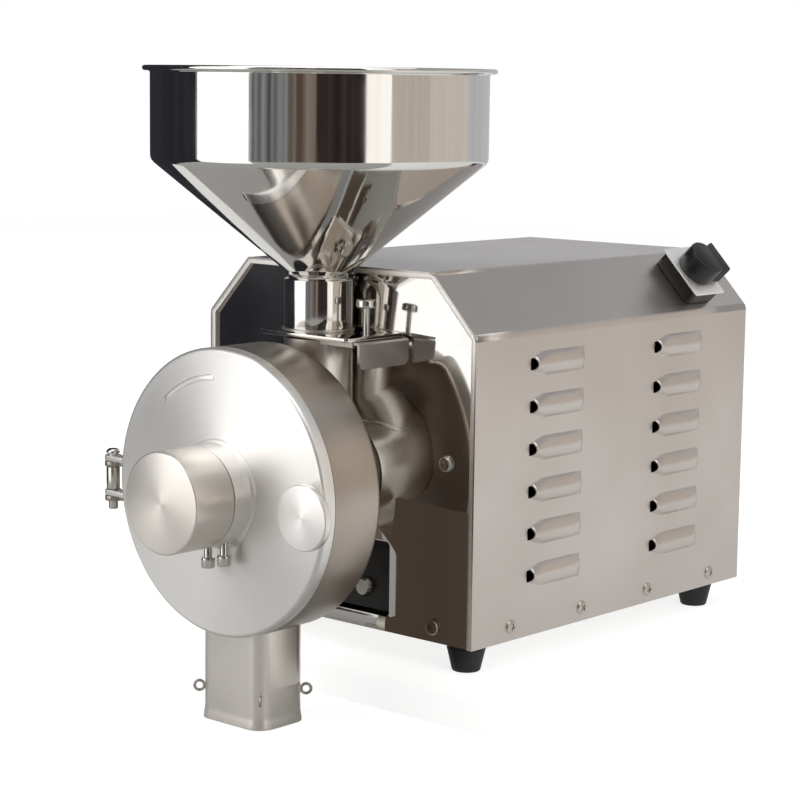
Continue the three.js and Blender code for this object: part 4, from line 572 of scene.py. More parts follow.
def wire_ring(name, path, radius, material):
    """A round wire along a closed path of casing points."""
    sections = []
    side = None
    for i, point in enumerate(path):
        along = (Vector(path[(i + 1) % len(path)]) - Vector(path[i - 1])).normalized()
        if side is None:
            side = along.orthogonal()
        side = (side - along * side.dot(along)).normalized()
        other = along.cross(side)
        wire = [Vector(point) + side * x + other * y for x, y in circle(0, 0, radius, WIRE_SIDES)]
        sections.append([tuple(p) for p in wire])
    return make(name, *skin([*sections, sections[0]], False), material, 60.0)


print("a wire has", WIRE_SIDES, "sides")

# %% [markdown]
# ## The casing
#
# One sheet is folded over the motor: two upright sides, two sloping shoulders and a flat top. It
# is made as a grid of faces along the fold line, so that the bends can be small arcs and the
# louvres can be raised out of the same skin. A solidify modifier then gives the sheet its
# thickness, which shows at the open ends of the louvres.

# %% Sizes of the casing
CASE_HALF = 117.25
CASE_TOP = 235.0
CASE_LENGTH = 301.0
CHAMFER_WIDTH = 36.0
CHAMFER_HEIGHT = 38.0
BEND_RADIUS = 2.4
WALL_TOP = CASE_TOP - CHAMFER_HEIGHT - 2 * BEND_RADIUS
SHEET = 1.2
print("casing:", 2 * CASE_HALF, "x", CASE_LENGTH, "x", CASE_TOP, "mm")

# %% [markdown]
# A louvre is slit along its front edge and pressed outwards in a die. Across its height it is a
# round ridge. Its mouth is narrower than its middle, so that sheet is left beside it, and it
# closes at the far end like a scoop. A short open slit in front of the mouth shows the dark
# inside.

# %% Shape of a louvre
LOUVRE_LEVELS = [176.2 - 27.4 * i for i in range(6)]
LOUVRE_FRONTS = [58.0, 193.0]
LOUVRE_LENGTH = 52.0
LOUVRE_HALF = 7.5
LOUVRE_BULGE = 4.0
LOUVRE_LEAD = 3.6
LOUVRE_MOUTH_SHARE = 0.5
LOUVRE_WIDE_SHARE = 0.3
LOUVRE_SCOOP_SHARE = 0.72
LOUVRE_ROUNDNESS = 0.75
LOUVRE_COLUMNS, LOUVRE_ROWS = 26, 12


def louvre_height(u, v):
    """How far a louvre stands out, at shares of its length and of its half height."""
    widening = math.sin(min(u / LOUVRE_WIDE_SHARE, 1) * math.pi / 2)
    v /= min(1.0, LOUVRE_MOUTH_SHARE + (1 - LOUVRE_MOUTH_SHARE) * widening)
    across = math.cos(v * math.pi / 2) ** LOUVRE_ROUNDNESS if abs(v) < 0.999 else 0.0
    closing = max(0.0, (u - LOUVRE_SCOOP_SHARE) / (1 - LOUVRE_SCOOP_SHARE))
    return LOUVRE_BULGE * across * math.sqrt(max(0.0, 1 - closing**2))


def louvre_at(y, z):
    """The front and level of the louvre that a place on the wall belongs to."""
    for front in LOUVRE_FRONTS:
        for level in LOUVRE_LEVELS:
            if abs(z - level) < LOUVRE_HALF and front - LOUVRE_LEAD < y < front + LOUVRE_LENGTH:
                return front, level
    return None


print("louvres on each side:", len(LOUVRE_FRONTS) * len(LOUVRE_LEVELS))

# %% [markdown]
# The wall is a grid whose lines fall on the edges of the louvres. Its points are moved outwards by
# the height of the louvre, and the faces in front of each mouth are left out.


# %% Louvred side wall
def side_wall(sign):
    stops = [0.0]
    for front in LOUVRE_FRONTS:
        stops += [front - LOUVRE_LEAD, front, front + LOUVRE_LENGTH]
    y_lines = []
    for low, high in zip(stops, [*stops[1:], CASE_LENGTH]):
        count = LOUVRE_COLUMNS if low in LOUVRE_FRONTS else 1
        y_lines += [low + (high - low) * i / count for i in range(count)]
    y_lines.append(CASE_LENGTH)
    z_lines = [0.0]
    for level in reversed(LOUVRE_LEVELS):
        shares = [2 * i / LOUVRE_ROWS - 1 for i in range(LOUVRE_ROWS + 1)]
        z_lines += [level + LOUVRE_HALF * share for share in shares]
    z_lines.append(WALL_TOP)
    points, faces, index = [], [], {}

    def point(y, z, out):
        key = (round(y, 4), round(z, 4), out > 1e-6)
        if key not in index:
            index[key] = len(points)
            points.append((CASE_MIDDLE + sign * (CASE_HALF - SHEET / 2 + out), y, z))
        return index[key]

    for y0, y1 in zip(y_lines, y_lines[1:]):
        for z0, z1 in zip(z_lines, z_lines[1:]):
            middle = (z0 + z1) / 2
            louvre = louvre_at((y0 + y1) / 2, middle)
            is_lead = louvre is not None and y1 <= louvre[0] + 1e-6
            if is_lead and abs(middle - louvre[1]) < LOUVRE_HALF * LOUVRE_MOUTH_SHARE:
                continue
            face = []
            for y, z in ((y0, z0), (y1, z0), (y1, z1), (y0, z1)):
                out = 0.0
                if louvre and not is_lead:
                    u, v = (y - louvre[0]) / LOUVRE_LENGTH, (z - louvre[1]) / LOUVRE_HALF
                    out = louvre_height(u, v)
                face.append(point(y, z, out))
            faces.append(face)
    return points, faces


print("faces of one side wall:", len(side_wall(1)[1]))

# %% [markdown]
# Above the walls the sheet runs round four bends. The bends are smooth, and the flat faces between
# them are shaded truly flat, or the sheet would look swollen.

# %% Folded sheet over the top
FOLD_STEPS = 5
FOLD_SHIFT_SHARE = 0.42


def fold_line():
    """The middle of the sheet over the top, from the right side wall to the left one."""
    half, top = CASE_HALF - SHEET / 2, CASE_TOP - SHEET / 2
    shift = SHEET / 2 * FOLD_SHIFT_SHARE
    corners = [
        (half, WALL_TOP),
        (half, top - CHAMFER_HEIGHT + shift),
        (half - CHAMFER_WIDTH + shift, top),
    ]
    corners += [(-x, z) for x, z in reversed(corners)]
    made = [corners[0]]
    for trio in zip(corners, corners[1:], corners[2:]):
        before, here, after = (Vector(corner) for corner in trio)
        start = here + (before - here).normalized() * BEND_RADIUS
        stop = here + (after - here).normalized() * BEND_RADIUS
        made += bend(start, here, stop, FOLD_STEPS)
    return [*made, corners[-1]]


def casing_sheet():
    points, faces = side_wall(1)
    more_points, more_faces = side_wall(-1)
    faces += [[i + len(points) for i in face] for face in more_faces]
    points += more_points
    y_lines = sorted({round(p[1], 4) for p in points if p[2] > WALL_TOP - 1e-3})
    rows = [[(CASE_MIDDLE + x, y, z) for y in y_lines] for x, z in fold_line()]
    more_points, more_faces = skin(rows, False, False)
    faces += [[i + len(points) for i in face] for face in more_faces]
    return points + more_points, faces


def shade_flat_faces(mesh):
    """Leaves the bends and louvres smooth, and keeps the flat faces truly flat."""
    slope = math.atan2(CHAMFER_WIDTH, CHAMFER_HEIGHT)
    ways = [Vector((1, 0, 0)), Vector((0, 0, 1))]
    ways += [Vector((sign * math.cos(slope), 0, math.sin(slope))) for sign in (1, -1)]
    for polygon in mesh.polygons:
        if any(abs(polygon.normal.dot(way)) > 0.99999 for way in ways):
            polygon.use_smooth = False


shell = make("casing_sheet", *casing_sheet(), SATIN_LONG, 40.0)
shade_flat_faces(shell.data)
thick = shell.modifiers.new("sheet", "SOLIDIFY")
thick.thickness = SHEET * MM
thick.offset = 0.0
thick.use_even_offset = True
settle(shell, "machine", "satin_steel", "casing_shell")

# %% [markdown]
# The front panel is a polished plate set just inside the folded sheet. Through its window the
# black motor bracket shows. Round it, the sheet's sheared edge is turned in as a narrow, dull hem.

# %% Front panel and hem
PLATE = 2.0
PLATE_EDGE = 0.3
PLATE_INSET = 1.8
PLATE_MIDDLE = 2.5
HEM_INSET, HEM_WIDTH = 0.15, 4.2
WINDOW = (-42, 42, 10, 59)
WINDOW_CORNER = 3
THROAT_HOLE = 34.6


def casing_outline(inset):
    half, top = CASE_HALF - inset, CASE_TOP - inset
    reach = CASE_HALF * CHAMFER_HEIGHT + (CASE_TOP - CHAMFER_HEIGHT) * CHAMFER_WIDTH
    reach -= inset * math.hypot(CHAMFER_WIDTH, CHAMFER_HEIGHT)
    right_side = [
        (half, 0.0),
        (half, (reach - half * CHAMFER_HEIGHT) / CHAMFER_WIDTH),
        ((reach - top * CHAMFER_WIDTH) / CHAMFER_HEIGHT, top),
    ]
    both = [*right_side, *[(-x, z) for x, z in reversed(right_side)]]
    return [(CASE_MIDDLE + x, z) for x, z in both]


def end_panel(name, holes, middle, material):
    outline = casing_outline(PLATE_INSET)
    return cut_plate(name, outline, holes, PLATE, PLATE_EDGE, upright_across(middle), material)


hem_outline = [*casing_outline(HEM_INSET), *reversed(casing_outline(HEM_WIDTH))]
hem = cut_plate("casing_front_hem", hem_outline, [], 1.3, 0.2, upright_across(0.8), SHEARED_EDGE)
settle(hem, "machine", "satin_steel")
front_holes = [rounded(*WINDOW, WINDOW_CORNER), circle(0, AXIS_LEVEL, THROAT_HOLE, 72)]
front = end_panel("front_panel_sheet", front_holes, PLATE_MIDDLE, POLISHED_PANEL)
settle(front, "machine", "mirror_steel", "front_panel")

# %% [markdown]
# The rear panel is satin, with a row of slots for the fan and a hole for the cable gland. A mat of
# near-black foam hangs behind the slots. It closes the view through them, and its dark colour is
# painted shade, so that the inside looks dark where it is seen through the louvres.

# %% Rear panel and a dark mat of painted shade
SLOT_HALF_WIDTH, SLOT_HALF_HEIGHT, SLOT_ROUND = 48, 3.5, 3.45
SLOT_PITCH = 15.0
GLAND_X, GLAND_LEVEL, GLAND_HOLE = 73.5, 26, 8.3
MAT = (-53, 53, 44, 156)
MAT_MIDDLE = 296.4
rear_holes = []
for i in range(-3, 4):
    low = AXIS_LEVEL + i * SLOT_PITCH - SLOT_HALF_HEIGHT
    high = low + 2 * SLOT_HALF_HEIGHT
    rear_holes.append(rounded(-SLOT_HALF_WIDTH, SLOT_HALF_WIDTH, low, high, SLOT_ROUND))
rear_holes.append(circle(GLAND_X, GLAND_LEVEL, GLAND_HOLE, 32))
rear = end_panel("rear_panel_sheet", rear_holes, CASE_LENGTH - PLATE_MIDDLE, SATIN_ACROSS)
settle(rear, "machine", "satin_steel", "rear_panel")
mat_place = upright_across(MAT_MIDDLE)
# The near-black mat is painted shade for the inside of the casing behind the slots.
shade_mat = cut_plate("vent_shade_mat", rounded(*MAT, 3), [], 1.6, 0.4, mat_place, SHADE_FOAM)
settle(shade_mat, "machine", "rubber")

# %% [markdown]
# ## Screws
#
# Pan-head screws with a cross recess hold the sides to the base tray, and hexagon socket bolts
# hold the front panel. One of each is turned and its recess is cut out with a cutter of the same
# shape as the tool that drives it. All the copies share its mesh.


# %% One pan-head screw and one socket bolt
def prism(loop, front, rear):
    return skin([[(x, y, z) for x, z in loop] for y in (front, rear)])


def cross_arm(half_x, half_z):
    return prism([(-half_x, -half_z), (half_x, -half_z), (half_x, half_z), (-half_x, half_z)], -3, -0.9)


def screw_mesh(name, profile, cutters, material):
    points, faces = spin(eased(profile, 0.4, False), (0, 0, 0), "Y", 32, False)
    body = make(name, points, faces, material)
    for cutter in cutters:
        tool = make(name + "_tool", *cutter, material)
        cut = body.modifiers.new("recess", "BOOLEAN")
        cut.operation = "DIFFERENCE"
        cut.solver = "EXACT"
        cut.object = tool
        made = bake(body)
        body.modifiers.clear()
        body.data = made
        bpy.data.objects.remove(tool)
    mesh = body.data
    smooth(mesh, 32.0)
    for vertex in mesh.vertices:
        vertex.co -= CASING_ORIGIN
    bpy.data.objects.remove(body)
    mesh.name = name
    return mesh


PAN_HEAD = [
    (0, -2.0), (2.2, -1.95, 0.9), (3.9, -1.3, 0.8), (4.6, -0.2), (4.6, 0), (2.0, 0), (2.0, 8.9), (0, 8.9),
]
BOLT_HEAD = [(0, -3.0), (4.1, -3.0, 0.6), (5.0, -2.1, 0.6), (5.0, 0), (2.5, 0), (2.5, 11.9), (0, 11.9)]
CROSS_LONG, CROSS_THIN = 2.4, 0.5
cross = [cross_arm(CROSS_LONG, CROSS_THIN), cross_arm(CROSS_THIN, CROSS_LONG)]
pan_screw = screw_mesh("pan_screw", PAN_HEAD, cross, ZINC)
socket_bolt = screw_mesh("socket_bolt", BOLT_HEAD, [prism(circle(0, 0, 2.3, 6), -4, -1.4)], ZINC)
print("faces of a screw and a bolt:", len(pan_screw.polygons), len(socket_bolt.polygons))

# %% [markdown]
# Each side has a row of four screws near its foot, and the front panel has four bolts. Each copy
# is turned a little further than the one before, since no hand leaves screws all alike.

# %% Screws in their places
SCREW_PLACES = [39.0 + 75.0 * i for i in range(4)]
SCREW_LEVEL = 9.0
BOLT_SEAT = 1.5
PANEL_BOLTS = [(89, 116), (-98.5, 116), (80, 10), (-89.5, 10)]


def set_screw(name, mesh, place, facing, twist):
    piece = bpy.data.objects.new(name + "_detail", mesh)
    scene.collection.objects.link(piece)
    turns = Matrix.Rotation(facing, 4, "Z") @ Matrix.Rotation(math.radians(twist), 4, "Y")
    piece.matrix_world = Matrix.Translation(at(*place)) @ turns
    settle(piece, "machine", "zinc", name)


for side, sign in (("right", 1), ("left", -1)):
    for i, along in enumerate(SCREW_PLACES):
        place = (CASE_MIDDLE + sign * CASE_HALF, along, SCREW_LEVEL)
        set_screw(f"case_screw_{side}_{i + 1}", pan_screw, place, sign * math.pi / 2, 17 + 31 * i)
for i, (across, high) in enumerate(PANEL_BOLTS):
    set_screw(f"panel_bolt_{i + 1}", socket_bolt, (across, BOLT_SEAT, high), 0, 20 * i)

# %% [markdown]
# ## The grinding chamber and its cover
#
# The chamber is a stainless casting, turned outside. It is one profile round the mill's axis, and
# its rear faces get a duller, darker brown finish that is painted shade for the closed space
# between the chamber and the front panel.

# %% Chamber
MILL = (0, 0, AXIS_LEVEL)
DRUM_RADIUS = 90
DRUM_FRONT, DRUM_BACK = -101, -59
drum_profile = [
    (83, DRUM_FRONT), (DRUM_RADIUS, DRUM_FRONT, 0.2), (DRUM_RADIUS, DRUM_BACK - 3, 2.5),
    (87, DRUM_BACK, 1.5), (34.3, DRUM_BACK), (34.3, -67), (83, -67, 3),
]
chamber = turned("chamber_casting", drum_profile, MILL, TURNED_DRUM)
# The rear faces get the brown painted shade of the closed space between chamber and panel.
chamber.data.materials.append(CHAMBER_BACK_SHADE)
shade_from = at(0, DRUM_BACK - 1.5, 0).y
for polygon in chamber.data.polygons:
    if polygon.center.y > shade_from:
        polygon.material_index = 1
settle(chamber, "machine", "satin_steel", "chamber_body")

# %% [markdown]
# Two flat ears on the chamber and two on the cover sit between each other on one pin. They are
# cut from plate, so each is an outline with a hole.

# %% Hinge ears and pin
HINGE_X, HINGE_Y = -103, -105
EAR_RADIUS, EAR_HOLE = 5.4, 3.3
EAR_THICKNESS = 3.5
EAR_GAP = 0.3
EAR_LEVELS = (81.5, 104.0)
PIN, PIN_HEAD = 3.1, 4.4


def ear_plate(name, outline, low, material):
    hole = circle(HINGE_X, HINGE_Y, EAR_HOLE, 24)
    placing = level_plate(low + EAR_THICKNESS / 2)
    return cut_plate(name, outline, [hole], EAR_THICKNESS, 0.5, placing, material)


chamber_ear = [
    *arc(HINGE_X, HINGE_Y, EAR_RADIUS, 180, 360, 14),
    (-91.2, -100.9), (-83.5, -100.9), (-83.5, -90), (-96, -92.5),
]
cover_ear = [
    (-86, -110.3), (-86, -101.8), (-98, -101.8),
    *arc(HINGE_X, HINGE_Y, EAR_RADIUS, 32, 270, 16),
]
for i, low in enumerate(EAR_LEVELS):
    still = ear_plate(f"chamber_ear_{i + 1}", chamber_ear, low, TURNED_DRUM)
    settle(still, "machine", "satin_steel")
    moving = ear_plate(f"cover_ear_{i + 1}", cover_ear, low + EAR_THICKNESS + EAR_GAP, TURNED_COVER)
    settle(moving, "cover", "turned_steel")
pin_profile = [
    (0, 76), (2.8, 76), (PIN, 76.6), (PIN, 89.1), (PIN_HEAD, 89.1, 0.8), (PIN_HEAD, 103.7, 0.8),
    (PIN, 103.7), (PIN, 112.5), (PIN_HEAD, 112.5), (PIN_HEAD, 114, 1.0), (3.0, 115.4, 1.0), (0, 115.5),
]
pin = turned("hinge_pin_detail", pin_profile, (HINGE_X, HINGE_Y, 0), BRIGHT_PIN, "Z", 0.4, 48)
settle(pin, "machine", "zinc", "hinge_pin")

# %% [markdown]
# The cover carries a hub for the fineness screw, and behind it a ring that fits into the mouth of
# the chamber. Face, hub and ring are one profile, as they are one casting. A plain raised rib
# curves along the upper left of the face.

# %% Cover with its hub
COVER_BACK, COVER_FACE = -101.3, -110.6
HUB_RADIUS = 31.5
NOSE_RADIUS = 22
SCREW_BORE = 11.3
cover_profile = [
    (SCREW_BORE, COVER_BACK), (79.4, COVER_BACK), (79.4, -98.3), (82.4, -98.3), (82.4, COVER_BACK),
    (DRUM_RADIUS, COVER_BACK, 0.2), (DRUM_RADIUS, -108.9, 0.9), (88.6, COVER_FACE, 0.9),
    (34, COVER_FACE, 0.4), (34, -112.9, 0.8), (31.7, -113.2, 0.5), (HUB_RADIUS, -126.4, 0.8),
    (NOSE_RADIUS, -126.4), (NOSE_RADIUS, -142.8, 0.8), (SCREW_BORE, -142.8),
]
cover = turned("cover_casting", cover_profile, MILL, TURNED_COVER, steps=144)
settle(cover, "cover", "turned_steel", "front_cover")
RIB_START, RIB_STOP = 93, 131
RIB_INNER, RIB_OUTER = 70.0, 73.6
rib_outline = [
    *arc(0, AXIS_LEVEL, RIB_OUTER, RIB_START, RIB_STOP, 24),
    *arc(0, AXIS_LEVEL, RIB_INNER, RIB_STOP, RIB_START, 24),
]
rib_place = upright_across(COVER_FACE + 0.1)
rib = cut_plate("cover_raised_rib", rib_outline, [], 1.0, 0.45, rib_place, TURNED_COVER, 60.0)
settle(rib, "cover", "turned_steel")

# %% [markdown]
# The fineness knob is a heavy turned cup that screws in and out over the nose of the hub. The
# clamp knob at the right pulls the cover shut on a thin washer. Both are turned from bar.

# %% Knobs
KNOB_FACE = -158.6
knob_profile = [
    (0, KNOB_FACE), (HUB_RADIUS, KNOB_FACE, 1.8), (HUB_RADIUS, -127, 0.8), (23.5, -127),
    (23.5, -147.6), (6.3, -147.6), (6.3, -152.6), (0, -152.6),
]
knob = turned("fineness_knob_detail", knob_profile, MILL, TURNED_KNOB, steps=120)
settle(knob, "fineness", "turned_steel", "fineness_knob")
CLAMP_BACK = -112.1
CLAMP_AXIS = (CLAMP_X, 0, CLAMP_LEVEL)
clamp_profile = [
    (0, -124.7), (20, -124.7, 1.4), (20, -119.4, 1.0), (9, -112.3, 1.2), (9, CLAMP_BACK),
    (4, CLAMP_BACK), (4, -90), (0, -90),
]
clamp = turned("clamp_knob_detail", clamp_profile, CLAMP_AXIS, TURNED_CLAMP, steps=72)
settle(clamp, "clamp", "turned_steel", "clamp_knob")
washer_profile = [(4.3, CLAMP_BACK), (11, CLAMP_BACK), (11, COVER_FACE), (4.3, COVER_FACE)]
washer = turned("clamp_washer_detail", washer_profile, CLAMP_AXIS, ZINC, ease=0.25, steps=48)
settle(washer, "clamp_ring", "zinc", "clamp_washer")

# %% [markdown]
# Two socket screws under the hub lock the fineness. Each hangs where its bore leaves the round
# hub, so its head is worked out from the hub's radius.


# %% Lock screws
def lock_screw(name, across, body):
    hub = AXIS_LEVEL - math.sqrt(HUB_RADIUS**2 - across**2)
    profile = [
        (0, hub + 6), (2.5, hub + 6), (2.5, hub - 7), (4.1, hub - 7, 0.3), (4.3, hub - 8),
        (4.3, hub - 12.6), (4.0, hub - 13.5), (1.9, hub - 13.5), (1.9, hub - 10.5), (0, hub - 10.5),
    ]
    piece = turned(name + "_detail", profile, (across, -119, 0), BRIGHT_PIN, "Z", 0.3, 32)
    settle(piece, body, "zinc", name)


lock_screw("lock_screw_1", 0.0, "lock_middle")
lock_screw("lock_screw_2", 14.0, "lock_side")

# %% [markdown]
# ## The spout
#
# A square tube with round corners carries the ground coffee down. Its lower edge is flared a
# little, and its upper edge follows the round chamber. It is skinned over sections that go up
# outside and come down inside.

# %% Spout
SPOUT_HALF = 27.5
SPOUT_CORNER = 10.24
SPOUT_JOINT = DRUM_RADIUS + 0.3
SPOUT_SECTIONS = [
    (0.9, -48), (0.85, -46.5), (0.3, -43), (0, -40), (0, None),
    (-1.6, None), (-1.6, -40), (-1.3, -43), (-0.7, -48),
]


def spout_section(grow, level):
    """A section that is wider by grow. Without a level it lies on the round of the chamber."""
    half, radius = SPOUT_HALF + grow, SPOUT_CORNER + grow
    loop = rounded(-half, half, DRUM_FRONT - grow, DRUM_BACK + grow, radius, 8)
    if level is None:
        return [(x, y, AXIS_LEVEL - math.sqrt(SPOUT_JOINT**2 - x * x)) for x, y in loop]
    return [(x, y, level) for x, y in loop]


sections = [spout_section(*row) for row in (*SPOUT_SECTIONS, SPOUT_SECTIONS[0])]
spout = make("spout_tube", *skin(sections, False), SATIN_TUBE, 40.0)
settle(spout, "machine", "satin_steel", "spout")

# %% [markdown]
# Four wire eyes on the spout's corners hold the neck of a bag. Each is a ring of wire that stands
# out from its corner.

# %% Bag eyes
EYE_CORNER_X, EYE_CORNER_Y = 24.5, 18.0
EYE_RADIUS = 3.1
EYE_WIRE = 0.95
EYE_GAP = 0.5
EYE_LEVEL = -28
SPOUT_MIDDLE = (DRUM_FRONT + DRUM_BACK) / 2
for i, (sx, sy) in enumerate([(-1, -1), (1, -1), (1, 1), (-1, 1)]):
    corner = Vector((sx * EYE_CORNER_X, SPOUT_MIDDLE + sy * EYE_CORNER_Y, EYE_LEVEL))
    out = Vector((sx, sy, 0)).normalized()
    centre = corner + out * (EYE_RADIUS + EYE_GAP)
    ring = [centre + out * x + Vector((0, 0, z)) for x, z in circle(0, 0, EYE_RADIUS, 32)]
    eye = wire_ring(f"bag_eye_{i + 1}_detail", ring, EYE_WIRE, ZINC)
    settle(eye, "machine", "zinc", f"bag_eye_{i + 1}")

# %% [markdown]
# ## Feed tube, gate and hopper
#
# Beans fall from the hopper through a sleeve and a sliding gate into an upright tube, which is
# welded to a short cross tube behind the chamber. The upright tube's foot follows the round of the
# cross tube, and a bead of weld runs round the joint.

# %% Cross tube and upright tube
TUBE_X, TUBE_Y = 2.4, -24.6
TUBE_RADIUS, TUBE_BORE = 22, 19.5
CROSS_RADIUS = 34
PLATE_UNDERSIDE = 190.9
BEAD_SHARE = 1.02
throat_profile = [
    (27, -66.7), (CROSS_RADIUS, -66.7), (CROSS_RADIUS, 7.7), (16.3, 7.7), (16.3, -8), (27, -8),
]
throat = turned("feed_cross_tube", throat_profile, MILL, SATIN_TUBE)
settle(throat, "machine", "satin_steel", "feed_throat")


def tube_ring(radius, levels):
    return [(x, y, z) for (x, y), z in zip(circle(TUBE_X, TUBE_Y, radius, 72), levels)]


rim = circle(TUBE_X, TUBE_Y, TUBE_RADIUS, 72)
saddle = [AXIS_LEVEL + math.sqrt(CROSS_RADIUS**2 - x**2) for x, y in rim]
level_top = [PLATE_UNDERSIDE] * len(saddle)
rings = [
    tube_ring(TUBE_RADIUS, [z - 1.5 for z in saddle]),
    tube_ring(TUBE_RADIUS, level_top),
    tube_ring(TUBE_BORE, level_top),
    tube_ring(TUBE_BORE, [z - 3 for z in saddle]),
]
riser = make("feed_upright_tube", *skin(rings, False), SATIN_TUBE, 50.0)
settle(riser, "machine", "satin_steel")
bead_path = tube_ring(TUBE_RADIUS * BEAD_SHARE, [z + 0.4 for z in saddle])
settle(wire_ring("feed_weld_bead", bead_path, 1.3, SATIN_TUBE), "machine", "satin_steel")

# %% [markdown]
# A thick plate lies on the tube and carries the hopper's collar above and two folded rails below.
# The plate is cut, the collar is turned, and a rail is one bent section drawn out straight.

# %% Plate, collar and rails of the gate
GUIDE_OUTLINE = [
    *arc(-10, -36, 20, 180, 270, 10), *arc(52, -52, 4, 270, 360, 5),
    *arc(52, -5, 4, 0, 90, 5), *arc(-22, -9, 8, 90, 180, 6),
]
GUIDE_BORE = 18.1
GUIDE_MIDDLE = 194.75
COLLAR_FOOT, COLLAR_TOP = 196, 228
COLLAR_BORE = 20
THUMB_X, THUMB_Y = 42, -23
guide_holes = [circle(TUBE_X, TUBE_Y, GUIDE_BORE, 64), circle(THUMB_X, THUMB_Y, 2.3, 24)]
guide_place = level_plate(GUIDE_MIDDLE)
guide = cut_plate("gate_guide_plate", GUIDE_OUTLINE, guide_holes, 2.5, 0.4, guide_place, POLISHED_NECK)
settle(guide, "machine", "mirror_steel", "gate_guide")
TUBE_AXIS = (TUBE_X, TUBE_Y, 0)
collar_profile = [
    (COLLAR_BORE, COLLAR_FOOT), (TUBE_RADIUS, COLLAR_FOOT),
    (TUBE_RADIUS, COLLAR_TOP, 0.9), (COLLAR_BORE, COLLAR_TOP, 0.9),
]
collar = turned("hopper_collar", collar_profile, TUBE_AXIS, POLISHED_NECK, "Z")
settle(collar, "machine", "mirror_steel")
collar_path = tube_ring(TUBE_RADIUS + 0.3, [COLLAR_FOOT + 0.2] * len(saddle))
collar_bead = wire_ring("collar_weld_bead", collar_path, 0.9, SATIN_ACROSS)
settle(collar_bead, "machine", "mirror_steel")
RAIL_SECTION = [
    (19.2, 193.5), (22.2, 193.5), (22.2, 189.2), (16.2, 189.2), (16.2, 191.2), (19.2, 191.2),
]
RAIL_ENDS = (24.7, 52.4)
for side, sign in (("front", -1), ("rear", 1)):
    ends = [[(x, TUBE_Y + sign * a, z) for a, z in RAIL_SECTION] for x in RAIL_ENDS]
    rail = make(f"gate_rail_{side}", *skin(ends), SATIN_LONG, 30.0)
    edge = rail.modifiers.new("edge", "BEVEL")
    edge.width = 0.4 * MM
    edge.segments = 2
    settle(rail, "machine", "mirror_steel")

# %% [markdown]
# The gate is one strip with a round tip. Its free end is bent down as a grip with round corners,
# and is skinned over sections across the strip. A thumb screw on the plate holds the gate.

# %% Slide gate
GATE_LEVEL = 192.35
GATE_THICKNESS = 1.7
TAB_X = 58.0
TAB_HALF = 23.0
TAB_ROUND = 5
TAB_ROUND_FROM = 181.3
TAB_BEND = [
    (52.0, GATE_LEVEL), (56.2, GATE_LEVEL), (57.3, 192.1), (57.95, 191.3), (TAB_X, 190.2), (TAB_X, 176.3),
]
BLADE = [
    *arc(0, 0, 18.9, 90, 270, 24),
    (50.3, -18.9), (50.3, -TAB_HALF), (51.6, -TAB_HALF), (51.6, TAB_HALF), (50.3, TAB_HALF), (50.3, 18.9),
]


def tab_section(x, z, side, half):
    """A section across the strip. Side points from its middle out to one face."""
    low, high = TUBE_Y - half, TUBE_Y + half
    corners = [(low, 1), (high, 1), (high, -1), (low, -1)]
    return [(x + face * side.x, y, z + face * side.y) for y, face in corners]


tab_sections = []
for i, (x, z) in enumerate(TAB_BEND[:-1]):
    along = (Vector(TAB_BEND[i + 1]) - Vector(TAB_BEND[max(i - 1, 0)])).normalized()
    side = Vector((along.y, -along.x)) * GATE_THICKNESS / 2
    tab_sections.append(tab_section(x, z, side, TAB_HALF))
side = Vector((-GATE_THICKNESS / 2, 0))
for deep, narrow in arc(0, 0, TAB_ROUND, 90, 0, 5):
    half = TAB_HALF - TAB_ROUND + narrow
    tab_sections.append(tab_section(TAB_X, TAB_ROUND_FROM - deep, side, half))
placing = level_plate(GATE_LEVEL, TUBE_Y, TUBE_X)
blade = cut_plate("gate_blade", BLADE, [], GATE_THICKNESS, 0.3, placing, SATIN_LONG)
settle(blade, "gate", "satin_steel", "slide_gate")
settle(make("gate_tab", *skin(tab_sections), SATIN_LONG, 30.0), "gate", "satin_steel")
thumb_profile = [
    (0, 193.4), (2, 193.4), (2, 212), (5.6, 212, 0.4), (6.5, 212.8), (6.5, 216.7),
    (5.6, 217.5, 0.4), (0, 217.5),
]
thumb = turned("gate_screw_detail", thumb_profile, (THUMB_X, THUMB_Y, 0), BRIGHT_PIN, "Z", 0.5, 48)
settle(thumb, "gate_lock", "zinc", "gate_screw")

# %% [markdown]
# The hopper is spun from thin sheet over a form and polished, so it is one profile too. Its cone
# ends in a short neck that stands in the collar, and its rim is rolled outwards.

# %% Hopper
NECK_BORE, NECK_RADIUS = 18.1, 19.3
HOPPER_BORE, HOPPER_RADIUS = 105.1, 106.3
RIM_TOP = 360.4
hopper_profile = [
    (NECK_BORE, COLLAR_FOOT), (NECK_RADIUS, COLLAR_FOOT), (NECK_RADIUS, 231, 3), (HOPPER_RADIUS, 302.3, 3),
    (HOPPER_RADIUS, 357.0, 1.2), (110.4, 357.2, 1.2), (111.3, 358.8, 1.0), (110.4, RIM_TOP, 1.2),
    (106.2, RIM_TOP, 1.4), (HOPPER_BORE, 358.0, 1.6), (HOPPER_BORE, 302.9, 3), (NECK_BORE, 231.6, 3),
]
hopper = turned("hopper_sheet", hopper_profile, TUBE_AXIS, POLISHED_HOPPER, "Z", 0.3, 160)
settle(hopper, "hopper", "mirror_steel", "hopper")

# %% [markdown]
# ## Feet
#
# Moulded rubber feet taper towards the table. A small step near the top is where the mould parts.
# A foot is round, so it is turned, and one profile serves all four.

# %% Rubber feet
FEET_X = {"left": -106.5, "right": 97}
FEET_Y = {"front": 14, "rear": 269}
FOOT_RADIUS = 12.5
foot_profile = [
    (0, -11), (4.5, -11), (4.5, -17, 0.8), (9, -17, 1.2), (12.2, -3.2, 0.4),
    (FOOT_RADIUS, -2.6, 0.3), (FOOT_RADIUS, -0.1, 0.6), (0, -0.1),
]
for end, y in FEET_Y.items():
    for side, x in FEET_X.items():
        foot = turned(f"foot_{end}_{side}_detail", foot_profile, (x, y, 0), RUBBER, "Z", 0.5, 48)
        settle(foot, "machine", "rubber", f"foot_{end}_{side}")

